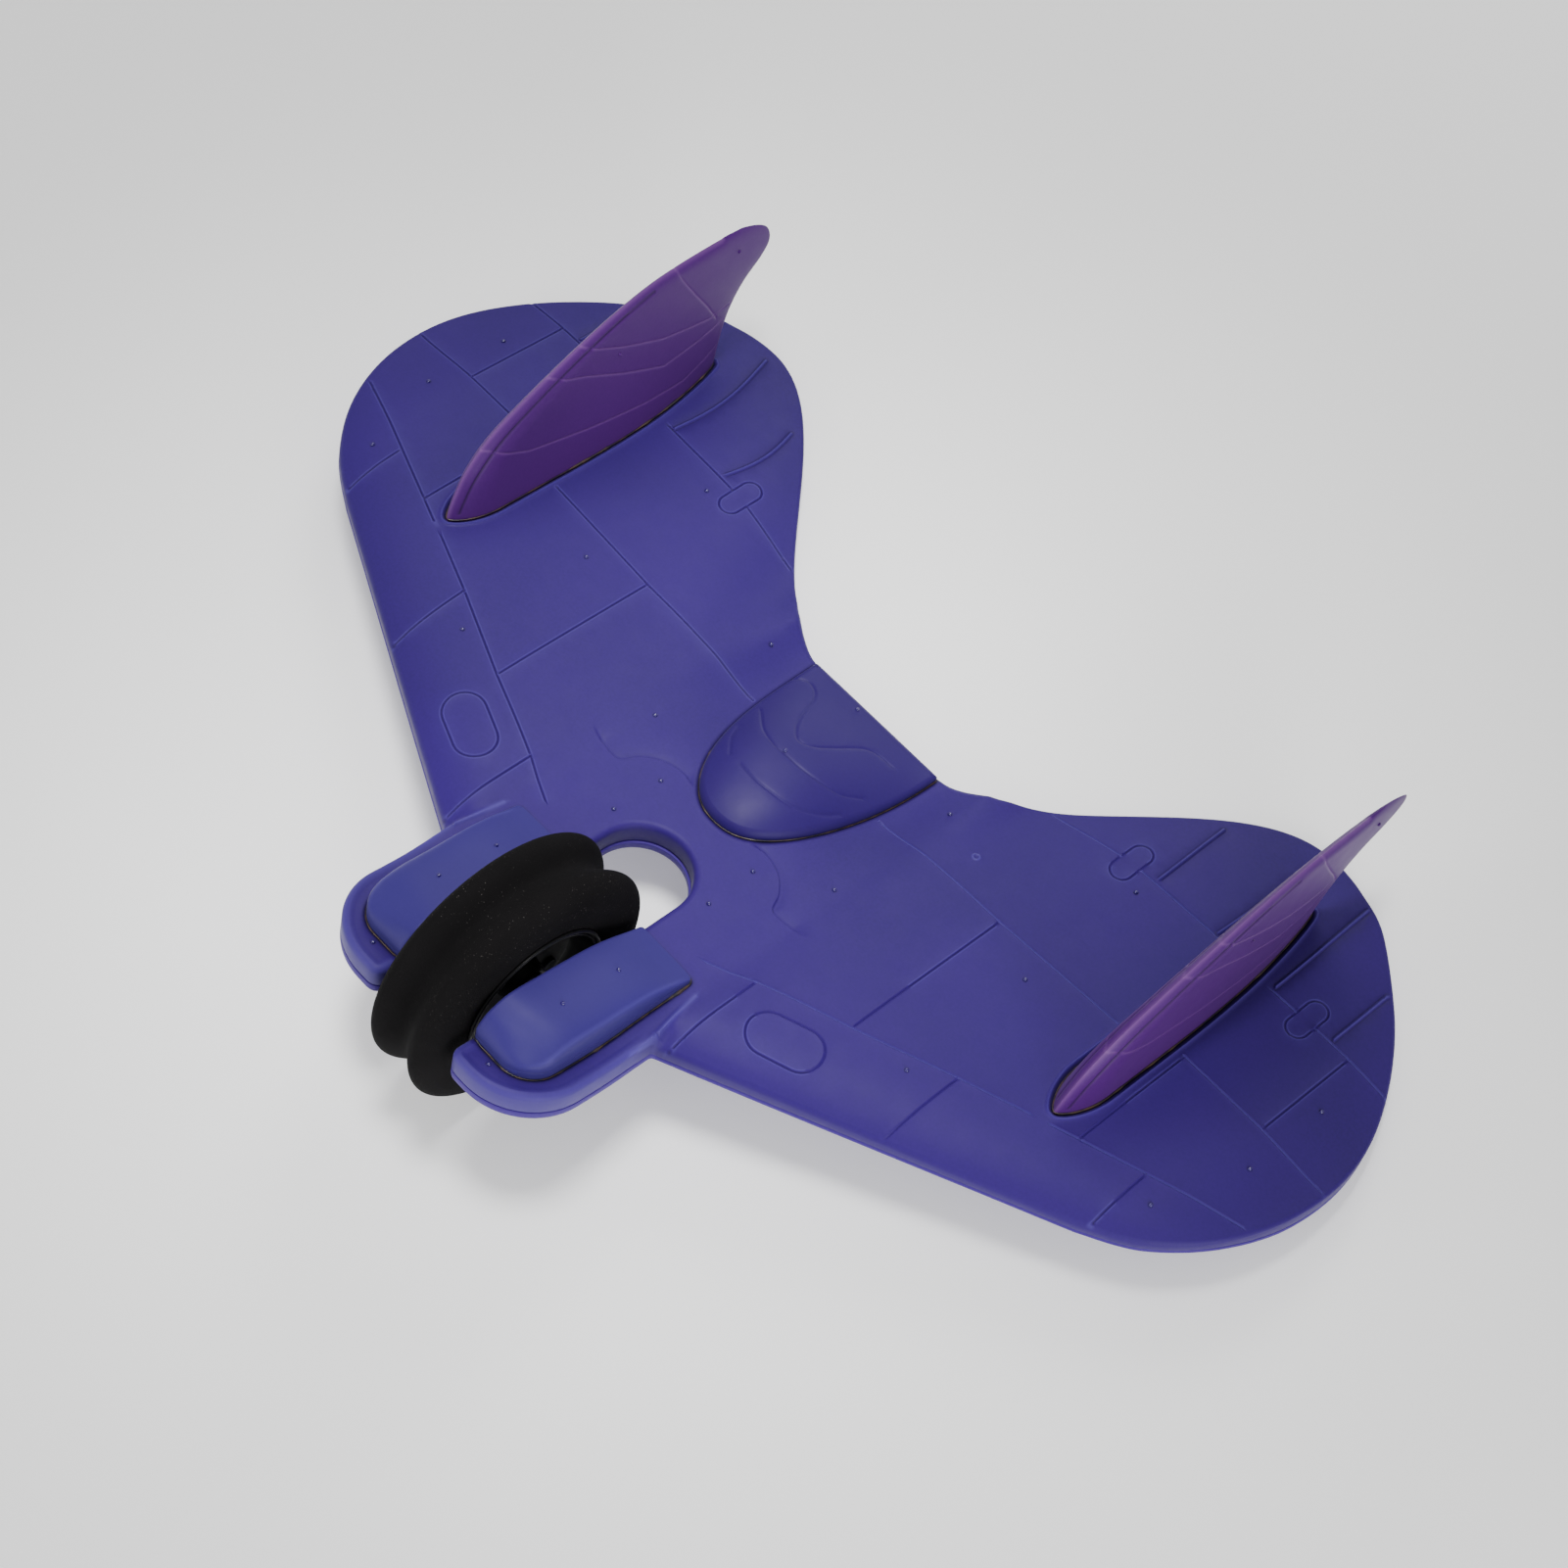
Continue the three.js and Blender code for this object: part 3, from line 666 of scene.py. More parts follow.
class Nodes:
    """Short calls for building one node material."""

    def __init__(self, name):
        self.material = bpy.data.materials.new(name)
        self.material.use_nodes = True
        self.tree = self.material.node_tree
        self.shader = self.tree.nodes["Principled BSDF"]
        self.where = self.add("ShaderNodeTexCoord").outputs["Object"]

    def add(self, kind, links=(), **settings):
        node = self.tree.nodes.new(kind)
        for key, value in settings.items():
            setattr(node, key, value)
        for socket, value in dict(links).items():
            self.put(node.inputs[socket], value)
        return node

    def put(self, socket, value):
        if isinstance(value, bpy.types.NodeSocket):
            self.tree.links.new(value, socket)
        else:
            socket.default_value = linear(value) if isinstance(value, str) else value

    def noise(self, scale, detail, stretch=None):
        where = self.where
        if stretch:
            where = self.add("ShaderNodeMapping", {"Vector": where, "Scale": stretch}).outputs[0]
        return self.add("ShaderNodeTexNoise", {"Vector": where, "Scale": scale, "Detail": detail,
                                               "Roughness": 0.55}).outputs["Fac"]

    def span(self, value, low, high, to_low=0.0, to_high=1.0):
        return self.add("ShaderNodeMapRange", {"Value": value, "From Min": low, "From Max": high,
                                               "To Min": to_low, "To Max": to_high}).outputs[0]

    def mix(self, factor, a, b):
        return self.add("ShaderNodeMix", {0: factor, 6: a, 7: b}, data_type="RGBA").outputs[2]

    def times(self, a, b):
        return self.add("ShaderNodeMath", {0: a, 1: b}, operation="MULTIPLY").outputs[0]

    def plus(self, a, b):
        return self.add("ShaderNodeMath", {0: a, 1: b}, operation="ADD").outputs[0]

    def bump(self, height, strength, distance, after=None):
        node = self.add("ShaderNodeBump", {"Height": height, "Strength": strength,
                                           "Distance": distance})
        if after is not None:
            self.put(node.inputs["Normal"], after)
        return node.outputs[0]

    def done(self, **inputs):
        for key, value in inputs.items():
            self.put(self.shader.inputs[key.replace("_", " ")], value)
        return self.material


# Colours that the tone attribute mixes into the foam: a painted highlight and a painted shade.
HIGHLIGHT_TINT, SHADE_TINT = "5d54a8", "120e20"


def foam(name, light, dark, rough=0.56, spec=0.2, highlight=HIGHLIGHT_TINT):
    """Dyed moulded foam: a soft satin skin with a fine uneven grain."""
    n = Nodes(name)
    cloud = n.span(n.noise(9, 2), 0.35, 0.65)
    fine = n.noise(900, 3)
    shade = n.plus(n.times(cloud, 0.6), n.times(n.span(fine, 0.3, 0.7), 0.4))
    color = n.mix(shade, dark, light)
    tone = n.add("ShaderNodeAttribute", attribute_name="tone").outputs["Fac"]
    # Painted highlight where tone is above 0, painted shade where it is below 0.
    color = n.mix(n.span(tone, 0, 1, 0, 0.6), color, highlight)
    color = n.mix(n.span(tone, 0, -1, 0, 0.85), color, SHADE_TINT)
    roughness = n.span(n.noise(160, 2), 0.3, 0.7, rough - 0.02, rough + 0.03)
    skin = n.bump(fine, 0.4, 0.00006)
    skin = n.bump(n.noise(45, 2), 0.2, 0.0003, skin)
    return n.done(Base_Color=color, Roughness=roughness, Normal=skin, Specular_IOR_Level=spec,
                  Sheen_Weight=0.04, Sheen_Roughness=0.5)


DECK = foam("deck_foam", "2a0e65", "210a54")
# Lighter than the deck's foam, as painted light on the hull's side walls.
HULL = foam("hull_foam", "3a207c", "351c74")
FAIRING_SKIN = foam("fairing_foam", "220b57", "1e084e", 0.5)
PAD_SKIN = foam("pad_foam", "2b1f66", "271c5e", 0.54)
# The fins' tone mixes in a pinker painted highlight.
FIN_SKIN = foam("fin_foam", "440f64", "390b58", 0.48, 0.17, "a878b4")
NUB_SKIN = foam("nub_foam", "241060", "1e0d54", 0.2, 0.7)


def glue_material():
    """Contact glue, nearly black with brown where it lies thin."""
    n = Nodes("glue_line")
    color = n.mix(n.span(n.noise(200, 3), 0.4, 0.65), "120f18", "463527")
    return n.done(Base_Color=color, Roughness=0.45, Normal=n.bump(n.noise(500, 3), 0.5, 0.0002))


def tyre_material():
    """Matt black foam of fine closed cells, with a little pale lint caught in patches."""
    n = Nodes("tyre_foam")
    cells = n.add("ShaderNodeTexVoronoi", {"Vector": n.where, "Scale": 1500}).outputs["Distance"]
    color = n.mix(n.span(n.noise(45, 4), 0.35, 0.65), "0c0b0c", "0f0e0f")
    lint = n.span(n.noise(2300, 0), 0.8, 0.83)
    patch = n.span(n.noise(35, 2), 0.45, 0.6)
    color = n.mix(n.times(n.times(lint, patch), 0.5), color, "6f6b68")
    skin = n.bump(cells, 0.5, 0.00018)
    skin = n.bump(n.noise(70, 3), 0.3, 0.0005, skin)
    return n.done(Base_Color=color, Roughness=0.92, Normal=skin, Specular_IOR_Level=0.08)


def plastic(name, color, rough, spec=0.5):
    n = Nodes(name)
    roughness = n.span(n.noise(120, 3), 0.3, 0.7, rough * 0.85, rough * 1.2)
    return n.done(Base_Color=color, Roughness=roughness, Specular_IOR_Level=spec,
                  Normal=n.bump(n.noise(700, 2), 0.08, 0.00005))


def metal(name, color, rough, stretch=None):
    n = Nodes(name)
    roughness = n.span(n.noise(300, 3, stretch), 0.3, 0.7, rough * 0.7, rough * 1.4)
    return n.done(Base_Color=color, Roughness=roughness, Metallic=1.0)


GLUE = glue_material()
TYRE = tyre_material()
HUB = plastic("hub_plastic", "070709", 0.38, 0.25)
BLOCK = plastic("block_plastic", "1b1c1f", 0.45)
BUSHING = plastic("bushing_plastic", "141416", 0.4)
SPACER = plastic("spacer_plastic", "202124", 0.4)
AXLE = metal("axle_steel", "303135", 0.4, (0.1, 1, 1))
SCREW = metal("screw_steel", "303135", 0.45)


# ---- Deck and hull ---------------------------------------------

SEAT_RINGS = (-0.6, 0.15, 0.5, 0.85, 1.2, 1.6, 2.0, 2.4, 2.9, 3.6, 4.6)
SEAM_LAP = 0.14
HULL_ROUND = 2.2


def both_sides(lines):
    return [side(line) for line in lines for side in (np.asarray, mirrored)]


def deck_detail_points():
    """Points close together wherever the deck has detail."""
    rows = [rows_along(both_sides(GROOVES + HATCHES), (0.3, 0.62, 1.1), 0.9),
            rows_along(RIBS + [mirrored(g) for g in RIGHT_RIBS], (0.3, 0.6, 1.0, 1.4), 0.9),
            rows_along(both_sides((PLATEAU, PRONG_RIDGE)), (0.25, 0.6, 1.1, 1.8, 3, 4.5), 0.9)]
    for line in (PAD_LINE, FAIRING_LINE, FIN_LINE):
        normal = inward(line)
        for out in SEAT_RINGS:
            ring = line - normal * out
            rows += [ring, mirrored(ring)] if line is not FAIRING_LINE else [ring]
    normal = inward(BOARD)
    rows += [BOARD + normal * d for d in (3.3, 3.9, 4.5, 5.2)]
    rows += [arc(*RING_AT, r, 0, 360, 24) for r in (0.5, 0.9, 1.3, 1.7, 2.1)]
    rows += [arc(sign * x, y, r, 0, 360, 16) for x, y in NUBS for sign in (1, -1)
             for r in (0.55, 0.85, 1.15, 1.6)]
    return thinned(np.vstack(rows), 0.24)


def build_deck():
    features = deck_detail_points()
    points = np.vstack((features, grid_over(BOARD, 3.4, features)))
    wall = SEAM_PART * thickness(*BOARD.T)
    radius = np.minimum(1.3 + 1.2 * (1 - smooth(52, 58, np.abs(BOARD[:, 0]))), 0.5 * wall)
    rings = [(i * radius, lambda p, k=k: deck_top(p) - k * radius) for i, k in rounding(1.0)]
    rings += [(inset, raised(seam_z, rise))
              for inset, rise in ((0.0, 0.75), (0.12, 0.4), (0.5, 0.2), (1.0, -SEAM_LAP))]
    low = raised(seam_z, -SEAM_LAP)
    return slab(BOARD, rings, deck_top, low, points, grid_over(BOARD, 9), 0.45)


def build_hull():
    """The hull, whose wall stands out into the slot as a small ledge below the seam."""
    x, y = BOARD.T
    in_slot = (np.abs(x) < SLOT_HALF + 0.3) & (y < SLOT_CENTRE_Y + SLOT_HALF + 0.3)
    ledge = -0.6 * in_slot * smooth(-44, -30, y)
    rings = [(inset + ledge, raised(seam_z, rise))
             for inset, rise in ((0.5, -0.15), (0.1, -0.35), (0.0, -0.7))]
    depth = lambda p: np.minimum(HULL_ROUND, 0.5 * (1 - SEAM_PART) * thickness(*p.T))
    rings += [(i + ledge, lambda p, k=k: hull_z(p) + k * depth(p))
              for i, k in rounding(HULL_ROUND)[::-1]]
    return slab(BOARD, rings, raised(seam_z, -0.15), hull_z, grid_over(BOARD, 9),
                grid_over(BOARD, 5), 0.8)


def line_tone(p, verts):
    """Painted shade in the grooves and painted highlights on their lips; the left wing's long
    grooves get only a painted highlight.
    """
    out = np.zeros(len(p))
    for line in GROOVES + HATCHES:
        m, d = near(p, line, 2)
        shade = bell(d, 0.3, -0.55) + bell(d - 0.65, 0.3, 0.4)
        out[m] = np.where(np.abs(shade) > np.abs(out[m]), shade, out[m])
    for line in SPAN_GROOVES:
        m, d = near(verts[:, :2], line, 2)
        out[m] = bell(d, 0.3, 0.6)
    # Painted highlight along the prong's ridge.
    m, d = near(p, PRONG_RIDGE, 5)
    out[m] += bell(d, 0.8, 0.5)
    # Painted highlight on the ribs and painted shade in their gutters.
    return out + over_ribs(verts, lambda d: bell(d, 0.4, 0.5) + bell(d - 1.0, 0.35, -0.5))


def join_shade_and_highlight(p):
    """Painted shade beside everything that is stuck on, and a painted highlight on the lip round
    the fins.
    """
    out = np.zeros(len(p))
    for line, reach in ((PAD_LINE, 1.3), (FAIRING_LINE, 1.0), (FIN_LINE, 1.5)):
        m, d = near(p, line, 6, closed=True)
        out[m] += bell(d, reach, -0.9)
    m, d = near(p, FIN_LINE, 6, closed=True)
    out[m] += np.where(inside(p[m], FIN_LINE), 0, bell(d - LIP_OUT, 0.5, 0.5))
    return out


def deck_tone(verts):
    p = folded(verts)
    out = line_tone(p, verts) + join_shade_and_highlight(p) + 0.6 * ring_mark(verts[:, :2])
    # Painted shadow in a thin ring round each nub.
    for nub in NUBS:
        out += bell(np.hypot(*(p - nub).T) - 0.85, 0.22, -0.6)
    top = verts[:, 2] > bare_deck(verts[:, :2]) - 1.2
    # Painted highlight along the prongs' rounded rims.
    rim = prong_part(p) * bell(distance_to(p, BOARD, closed=True), 2.6, 0.42)
    return np.where(top, out, 0) + rim


deck = build_deck()
place("deck_skin", deck, DECK, ["deck_shell"], tone=deck_tone(deck[0]))
place("hull_skin", build_hull(), HULL, ["hull_shell"])


# ---- Pads, fairing ---------------------------------------------

PAD_PROFILE = spline(PAD_CREST, 10)


def corner_loss(radius, into):
    return radius * (1 - np.sqrt(1 - np.clip(into / radius, 0, 1) ** 2))


def pad_parts(p):
    """The deck's height under the pad, the pad's crest above it, and the part across."""
    x, y = p.T
    edge = (PAD_X1 - corner_loss(PAD_CORNER, PAD_Y0 + PAD_CORNER - y)
            - corner_loss(PAD_HEEL, y - PAD_Y1 + PAD_HEEL))
    across = np.clip((x - PAD_X0) / (edge - PAD_X0), 0, 1)
    lag = PAD_LAG * across * smooth(0, 12, y - PAD_Y0) * (1 - smooth(0, 25, y))
    deck = body_top(x, y)
    return deck, np.interp(y - lag, PAD_PROFILE[:, 0], PAD_PROFILE[:, 1]) - deck, across


def foot_of(rise):
    """The height of the pad's upright wall, where its rounded top begins."""
    return np.minimum(PAD_WALL, 0.4 * rise)


def pad_foot(p):
    deck, rise, _ = pad_parts(p)
    return deck + foot_of(rise)


def pad_top(p):
    deck, rise, across = pad_parts(p)
    foot = foot_of(rise)
    swell = (1 - PAD_SLOPE * across) * (1 - across ** PAD_SWELL) ** (1 / PAD_SWELL)
    past = np.maximum(PAD_X0 - p[:, 0], PAD_Y0 - p[:, 1])
    lip = corner_loss(PAD_LIP, past + PAD_LIP) * np.minimum(1, rise / 6)
    return deck + foot + (rise - foot) * swell - lip


def build_pad():
    """A pad with a fine crease round it at the top of its wall, and its underside in its seat."""
    rings = [(d, pad_top) for d in (1.2, 0.85, 0.55, 0.3, 0.12)]
    rings += [(0.0, lambda p: np.maximum(pad_top(p) - 0.3, pad_foot(p) + 0.35)),
              (0.0, raised(pad_foot, 0.3)), (0.28, pad_foot), (0.0, raised(pad_foot, -0.3)),
              (0.0, raised(shelf, 0.5)), (0.35, raised(shelf, -0.3))]
    normal = inward(PAD_LINE)
    points = [PAD_LINE + normal * d for d in (1.7, 2.4, 3.2, 4.2, 5.4, 6.8)]
    points = thinned(np.vstack(points + [grid_over(PAD_LINE, 1.4)]), 0.35)
    return slab(PAD_LINE, rings, pad_top, raised(shelf, -0.3), points, [], 0.35)


def other_side(built):
    verts, faces = built
    return verts * np.array([-1, 1, 1]), faces


def pad_tone(verts):
    """A painted highlight along the shoulder of the pad's outer side."""
    _, _, across = pad_parts(verts[:, :2])
    along = smooth(-44, -34, verts[:, 1]) * (1 - smooth(22, 29, verts[:, 1]))
    return along * bell(across - 0.95, 0.02, 0.25)


left_pad = build_pad()
for side, built in (("left", left_pad), ("right", other_side(left_pad))):
    piece = place(f"{side}_pad_skin", built, PAD_SKIN, [f"{side}_pad"],
                  tone=pad_tone(left_pad[0]))

FAIRING_LINES = [spline(line, 8) for line in (
    [(-26, 129), (-16.7, 120.7), (-8.7, 117.7), (-3, 117.7), (4.3, 118), (11.3, 119.7),
     (18.3, 123), (21.7, 126.3), (25, 131.7)],
    [(-9, 101.7), (-0.3, 101), (7, 102), (13.3, 104), (18.3, 107.7), (22.7, 113.3), (25.7, 119.7)],
    [(-31.7, 151.7), (-27.3, 155), (-23, 154), (-19, 150), (-15.7, 142.3), (-12.7, 134.7),
     (-9, 129.7), (-4.7, 127), (0.3, 130.3), (4, 137), (8.7, 147.3), (13.3, 151), (20.7, 152.3)],
    [(-15.7, 103), (-22, 110.3), (-24.3, 116)])]


def fairing_top(p):
    x, y = p.T
    along = (y - FAIRING_Y0) / (FAIRING_Y1 - FAIRING_Y0)
    across = np.clip(np.abs(x) / np.maximum(1, fairing_half(y)), 0, 1)
    swell = np.sin(math.pi * np.clip(along, 0, 1) ** 0.8) * (1 - across**2.4)
    top = body_top(np.zeros_like(x), y) + FAIRING_EDGE + FAIRING_CROWN * swell
    return top + over_lines(p, FAIRING_LINES, 0.55, -0.42)


def build_fairing():
    under = raised(bare_deck, -0.5)
    rings = [(inset, raised(fairing_top, -1.8 * part)) for inset, part in rounding(1.9)]
    rings += [(0.1, raised(bare_deck, 0.3)), (0.5, under)]
    points = thinned(rows_along(FAIRING_LINES, (0.3, 0.65, 1.2), 0.8), 0.25)
    points = np.vstack((points, grid_over(FAIRING_LINE, 1.7, points, 1.0)))
    return slab(FAIRING_LINE, rings, fairing_top, under, points, [], 0.4)


place("tail_fairing_skin", build_fairing(), FAIRING_SKIN, ["tail_fairing"])


# ---- Fins ------------------------------------------------------

FIN_RELIEF = [
    [(127.3, 48.3), (134.3, 49.7), (154, 42.7), (174.3, 33.3), (195.3, 24.7), (215.3, 26),
     (228.7, 28)],
    [(101.3, 30), (110, 29.3), (127, 22), (156.3, 16.3), (186.7, 11.7), (207.3, 10), (226.7, 14.7)],
    [(145.3, 58.7), (152.7, 55.7), (173, 46.7), (193.7, 39.3), (219.3, 34), (231.3, 34.7)],
    [(198, 70.3), (202, 62.7), (209.3, 52), (216.7, 42), (223.3, 31.7)]]
# A moulded line behind and below the leading edge, which stops short of both its ends.
STRIP_SHIFT = (2.5185, -2.2667)
FIN_STRIP = (FIN_FRONT + STRIP_SHIFT)[16:96]


def fin_side(p):
    """Half thickness of the fin with its moulded lines, over its side view."""
    marks = over_lines(p, FIN_RELIEF, 0.34, -0.24) + over_lines(p, [FIN_STRIP], 0.4, -0.4)
    return np.maximum(fin_half_thickness(*p.T) + marks, 0.02)


def fin_tone(verts):
    """Tones for points of the side view, whose third value is distance from the fin's middle."""
    p = verts[:, :2]
    # Painted highlights along the moulded lines and painted shade in the strip behind the leading
    # edge.
    marks = over_lines(p, FIN_RELIEF, 0.4, 0.2) + over_lines(p, [FIN_STRIP], 0.4, -0.8)
    # Painted highlight along the middle of the leading edge.
    edge = bell(verts[:, 2], 0.8, 0.3) * (distance_to(p, FIN_FRONT) < 1.5)
    return np.clip(marks + edge, -1, 1)


def fin_loop():
    y = np.linspace(226, 91.5, 60)
    root = np.column_stack((y, plain_deck(np.full_like(y, FIN_X), y) - 2.5))
    front = FIN_FRONT[FIN_FRONT[:, 1] > root[-1, 1] + 0.8]
    back = FIN_BACK[FIN_BACK[:, 1] > root[0, 1] + 0.8][::-1]
    return relaxed(resample(np.vstack((front, back, root)), 0.75, closed=True), 2)


def build_fin():
    loop = fin_loop()
    insets = (2.6, 1.7, 1.05, 0.6, 0.3, 0.12, 0.03)
    rings = [(d, fin_side) for d in insets] + [(-0.2, lambda p: np.zeros(len(p)))]
    rings += [(d, lambda p: -fin_side(p)) for d in insets[::-1]]
    rows = thinned(rows_along(FIN_RELIEF + [FIN_STRIP], (0.28, 0.6, 1.1), 0.8), 0.24)
    points = np.vstack((rows, grid_over(loop, 2.2, rows, 1.1)))
    verts, faces = slab(loop, rings, fin_side, lambda p: -fin_side(p), points, points, 0.35)
    y, z, out = verts.T
    return (np.column_stack((FIN_X + FIN_CANT * z + out, y, z)), faces), fin_tone(verts)


left_fin, tone = build_fin()
for side, built in (("left", left_fin), ("right", other_side(left_fin))):
    place(f"{side}_fin_skin", built, FIN_SKIN, [f"{side}_fin"], 50, tone)


# ---- Glue beads and vent nubs ----------------------------------

def bead(name, line, height, out, seed, least=0.22, most=0.6, heel=0.0):
    """A thin uneven squeeze of glue along a closed line on the deck."""
    r = random.Random(seed)
    line = resample(line, 0.9, closed=True)
    normal = -inward(line)
    count, sides = len(line), 8
    knots = np.array([r.random() for _ in range(count // 6 + 2)])
    swell = np.interp(np.arange(count), np.linspace(0, count, len(knots)), knots)
    size = (least + most * swell**4) * (1 + heel * smooth(8, 29, line[:, 1]))
    size[-3:] = size[0]
    verts = []
    for k in range(sides):
        turn = 2 * math.pi * k / sides
        at = line + normal * (out + size * math.cos(turn))[:, None]
        verts.append(np.column_stack((at, height(line) + size * math.sin(turn))))
    place(name, (np.vstack(verts), strips(count, sides, closed=True)), GLUE)


ground = raised(bare_deck, 0.05)
for side, turn in (("left", np.asarray), ("right", mirrored)):
    bead(f"{side}_pad_glue", turn(PAD_LINE), shelf, 0.15, 3, heel=1.0)
    bead(f"{side}_fin_glue", turn(FIN_LINE), ground, 0.1, 5, 0.2, 0.5)
bead("fairing_glue", FAIRING_LINE, ground, 0.1, 9, 0.16, 0.35)

PAD_NUBS = [(32, -18.7), (31.7, 7)]
FAIRING_NUBS = [(3.7, 118.7), (6.7, 160.7)]
FIN_NUBS = [(171.0, 44.2), (231.5, 60.9)]
NUB_LEVELS = (-0.4, 0.0, 0.35, 0.65, 0.88)


def dome(at, up, radius, height):
    """A small round nub: points and faces, closed underneath."""
    up = np.asarray(up) / np.linalg.norm(up)
    side = np.cross(up, (0.0, 1.0, 0.0))
    side /= np.linalg.norm(side)
    other = np.cross(up, side)
    verts, count = [], 12
    for level in NUB_LEVELS:
        r = radius * (1.0 if level <= 0 else math.sqrt(1 - level**2))
        for turn in np.arange(count) * 2 * math.pi / count:
            verts.append(at + side * r * math.cos(turn) + other * r * math.sin(turn)
                         + up * height * level)
    verts += [at + up * height, at + up * height * NUB_LEVELS[0]]
    faces = strips(count, len(NUB_LEVELS))
    last, top, low = (len(NUB_LEVELS) - 1) * count, len(verts) - 2, len(verts) - 1
    for i in range(count):
        j = (i + 1) % count
        faces += [(last + i, top, last + j), (j, low, i)]
    return np.array(verts), faces


def gathered(parts):
    verts, faces, total = [], [], 0
    for v, f in parts:
        f = outward(v - v.mean(0), f)
        faces += [[i + total for i in q] for q in f]
        verts.append(v)
        total += len(v)
    return np.vstack(verts), faces


def build_nubs():
    """Nubs that stand square to the deck, pads and fairing. The fairing's are off to the right."""
    parts, step = [], 0.4
    for places, top, signs in ((NUBS, deck_top, (1, -1)), (PAD_NUBS, pad_top, (1, -1)),
                               (FAIRING_NUBS, fairing_top, (-1,))):
        for x, y in places:
            z, ahead, above = top(np.array([(x, y), (x + step, y), (x, y + step)]))
            lean = (z - ahead) / step, (z - above) / step
            for sign in signs:
                at = np.array([sign * x, y, z])
                parts.append(dome(at, (lean[0] * sign, lean[1], 1), 0.85, 0.85))
    return gathered(parts)


def build_fin_nubs():
    """Nubs on both faces of both fins."""
    half = fin_side(np.array(FIN_NUBS))
    parts = []
    for (y, z), reach in zip(FIN_NUBS, half):
        for sign, face in ((1, 1), (1, -1), (-1, 1), (-1, -1)):
            at = np.array([sign * (FIN_X + FIN_CANT * z + face * reach), y, z])
            parts.append(dome(at, (sign * face, 0, 0), 0.75, 0.75))
    return gathered(parts)


place("vent_nubs", build_nubs(), NUB_SKIN)
place("fin_nubs", build_fin_nubs(), FIN_SKIN)


# ---- Wheel -----------------------------------------------------

WHEEL_R, TYRE_HALF, LOBE_X, TREAD_GROOVE, SHOULDER = 50.5, 15.0, 9.7, 5.6, 10.0
HUB_R, RIM_WALL, WEB, BOSS_R, BOSS_X, BORE_R = 29.0, 2.4, 3.0, 9.0, 11.0, 4.6


def turned(name, profile, sides, material, stands_for, crease):
    """A closed ring turned round the wheel's axis, from [x, radius] pairs."""
    profile = np.asarray(profile, float)
    angles = np.linspace(0, 2 * math.pi, sides, endpoint=False)
    verts = np.vstack([np.column_stack((np.full(sides, x), r * np.cos(angles), r * np.sin(angles)))
                       for x, r in profile])
    faces = strips(sides, len(profile), closed=True)
    add_mesh(name, (verts + AXLE_MIDDLE) / 1000, outward(verts, faces), material, "wheel",
             stands_for, crease)


def tread(x):
    side = np.abs(x)
    inner = WHEEL_R - TREAD_GROOVE * (1 + np.cos(math.pi * side / LOBE_X)) / 2
    part = np.clip((side - LOBE_X) / (TYRE_HALF - LOBE_X), 0, 1)
    return np.where(side < LOBE_X, inner, WHEEL_R - SHOULDER * (1 - np.sqrt(1 - part**2)))


def build_tyre():
    x = TYRE_HALF * np.sin(np.linspace(-math.pi / 2, math.pi / 2, 72))
    inner = [(TYRE_HALF - 0.1, 36.5), (TYRE_HALF - 0.4, 32), (TYRE_HALF - 1.0, HUB_R + 0.4),
             (TYRE_HALF - 4, HUB_R + 0.3)]
    profile = list(zip(x, tread(x))) + inner + [(-x, r) for x, r in inner[::-1]]
    turned("tyre_foam_ring", profile, 220, TYRE, ["tyre"], 60)


def build_hub(side):
    """One half of the hub: web and bore flange, dished face, rolled bead at the rim, and boss."""
    sign, rim, wall = 1 if side == "left" else -1, TYRE_HALF - 0.4, HUB_R - RIM_WALL
    profile = [(0.15, BORE_R), (0.15, HUB_R - 0.4), (0.6, HUB_R), (rim - 0.9, HUB_R),
               (rim - 0.3, HUB_R + 0.25), (rim + 0.3, HUB_R + 0.1), (rim + 0.5, HUB_R - 0.4),
               (rim + 0.3, HUB_R - 0.9), (rim - 0.5, HUB_R - 1.1), (rim - 0.6, HUB_R - 1.6),
               (rim - 0.1, HUB_R - 1.9), (rim - 0.2, HUB_R - 2.4), (rim - 1.0, wall),
               (WEB + 2.5, wall - 0.7), (WEB + 0.9, wall - 1.5), (WEB, wall - 3.2),
               (WEB, BOSS_R + 2.2), (WEB + 0.4, BOSS_R + 0.9), (WEB + 1.6, BOSS_R),
               (BOSS_X - 0.6, BOSS_R - 0.9), (BOSS_X, BOSS_R - 1.5), (BOSS_X, BORE_R)]
    profile = [(sign * x, r) for x, r in profile]
    turned(f"{side}_hub_shell", profile, 128, HUB, [f"{side}_hub_half"], 30)


build_tyre()
for side in ("left", "right"):
    build_hub(side)


# ---- CAD nodes that stay as they are ---------------------------

# The first of these words in a node's name gives its finish. The skins stand for the other nodes.
FINISHES = {"screw": SCREW, "block": BLOCK, "spacer": SPACER, "bushing": BUSHING, "axle": AXLE}
for name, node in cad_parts.items():
    finish = next((look for word, look in FINISHES.items() if word in name), None)
    if finish is not None:
        node.data.materials.clear()
        node.data.materials.append(finish)


# ---- Floor, light and camera -----------------------------------

WHITE = (1, 1, 1, 1)
bpy.ops.mesh.primitive_plane_add(size=6)
floor = bpy.context.object
floor.name = "floor"
floor.data.materials.append(Nodes("floor_white").done(
    Base_Color=(0.9, 0.9, 0.9, 1), Roughness=0.7, Emission_Color=WHITE, Emission_Strength=0.22))

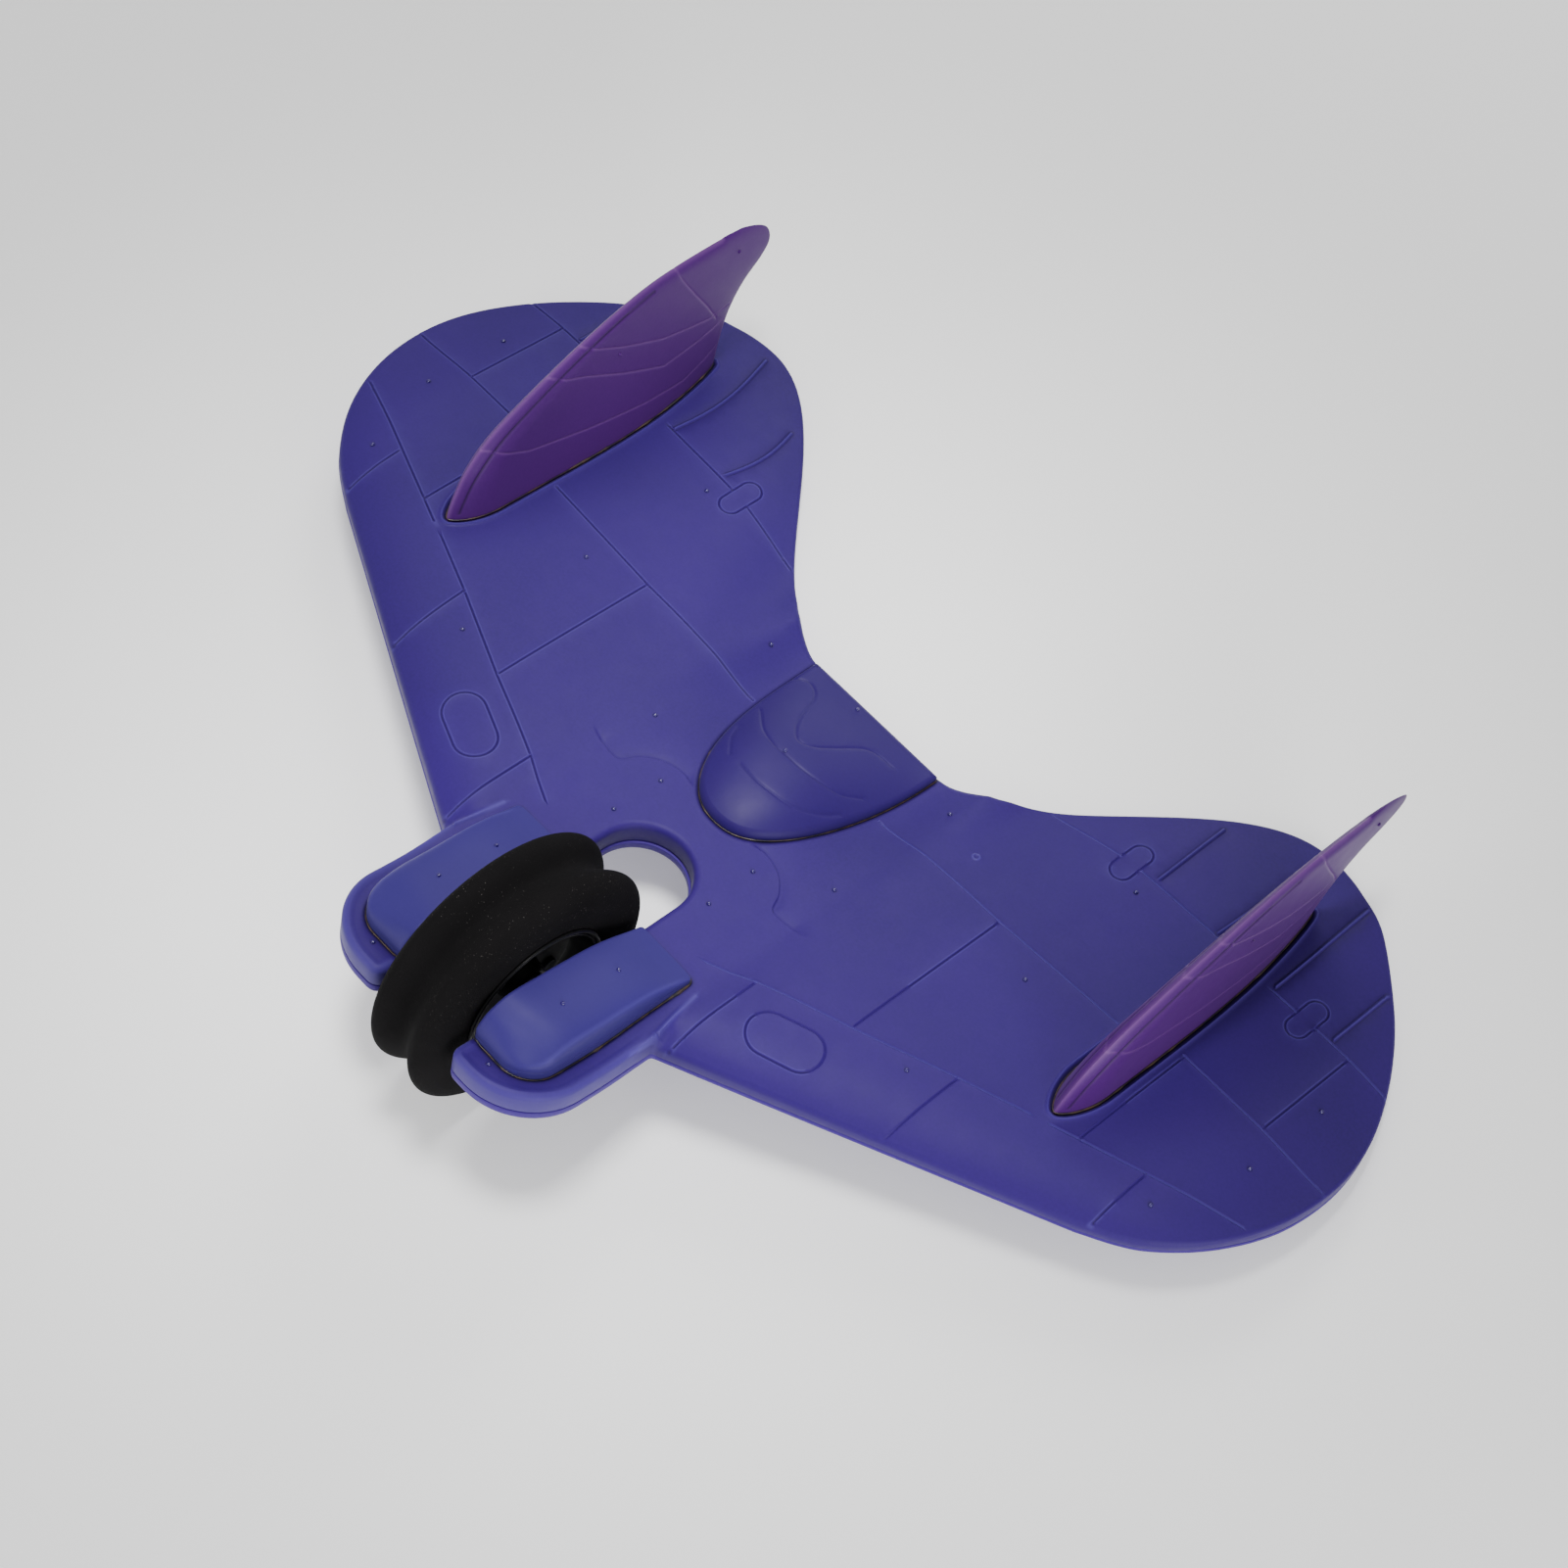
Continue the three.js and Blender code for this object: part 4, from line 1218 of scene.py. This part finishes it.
world = bpy.data.worlds.new("studio")
bpy.context.scene.world = world
world.use_nodes = True
background = world.node_tree.nodes["Background"]
background.inputs[0].default_value = WHITE
background.inputs[1].default_value = 0.6


def add_light(data, at, toward):
    lamp = bpy.data.objects.new(data.name, data)
    lamp.location = at
    lamp.rotation_euler = (Vector(toward) - Vector(at)).to_track_quat("-Z", "Y").to_euler()
    bpy.context.scene.collection.objects.link(lamp)


def area_light(name, at, size, power):
    data = bpy.data.lights.new(name, "AREA")
    data.shape, data.size, data.energy = "SQUARE", size, power
    add_light(data, at, (0, 0.02, 0.03))


def spot_light(name, at, spread, radius, power, toward):
    data = bpy.data.lights.new(name, "SPOT")
    data.spot_size, data.spot_blend = math.radians(spread), 1.0
    data.shadow_soft_size, data.energy = radius, power
    add_light(data, at, toward)


area_light("sheen", (-0.45, 0.85, 0.85), 0.5, 5.5)
area_light("front_right", (0.9, -0.35, 0.3), 0.5, 7)
area_light("front_left", (-0.3, -0.9, 0.3), 0.4, 3.5)
spot_light("top", (-0.08, 0.1, 1.15), 27, 0.2, 98, (-0.03, -0.02, 0.02))

# Degrees round the board, above it and about the line of sight, then the camera's place along its
# own right, up and back axes, and its focal length on a sensor 36 mm wide.
CAMERA_TURN = (34.4916, 52.5734, 15.4608)
CAMERA_SHIFT = (83.959, 52.474, 1173.62)
CAMERA_LENS = 79.1701


def add_camera():
    """The camera, placed by its angles in the board's frame."""
    az, el, roll = map(math.radians, CAMERA_TURN)
    back = np.array([math.sin(az) * math.cos(el), -math.cos(az) * math.cos(el), math.sin(el)])
    right = np.array([math.cos(az), math.sin(az), 0])
    up = np.cross(back, right)
    x_axis = right * math.cos(roll) + up * math.sin(roll)
    y_axis = -right * math.sin(roll) + up * math.cos(roll)
    axes = np.column_stack((x_axis, y_axis, back))
    at = row_frame(axes @ CAMERA_SHIFT)
    data = bpy.data.cameras.new("camera")
    data.lens = CAMERA_LENS
    camera = bpy.data.objects.new("camera", data)
    camera.matrix_world = Matrix.Translation(Vector(at)) @ Matrix((LEAN @ axes).tolist()).to_4x4()
    bpy.context.scene.collection.objects.link(camera)
    bpy.context.scene.camera = camera


add_camera()
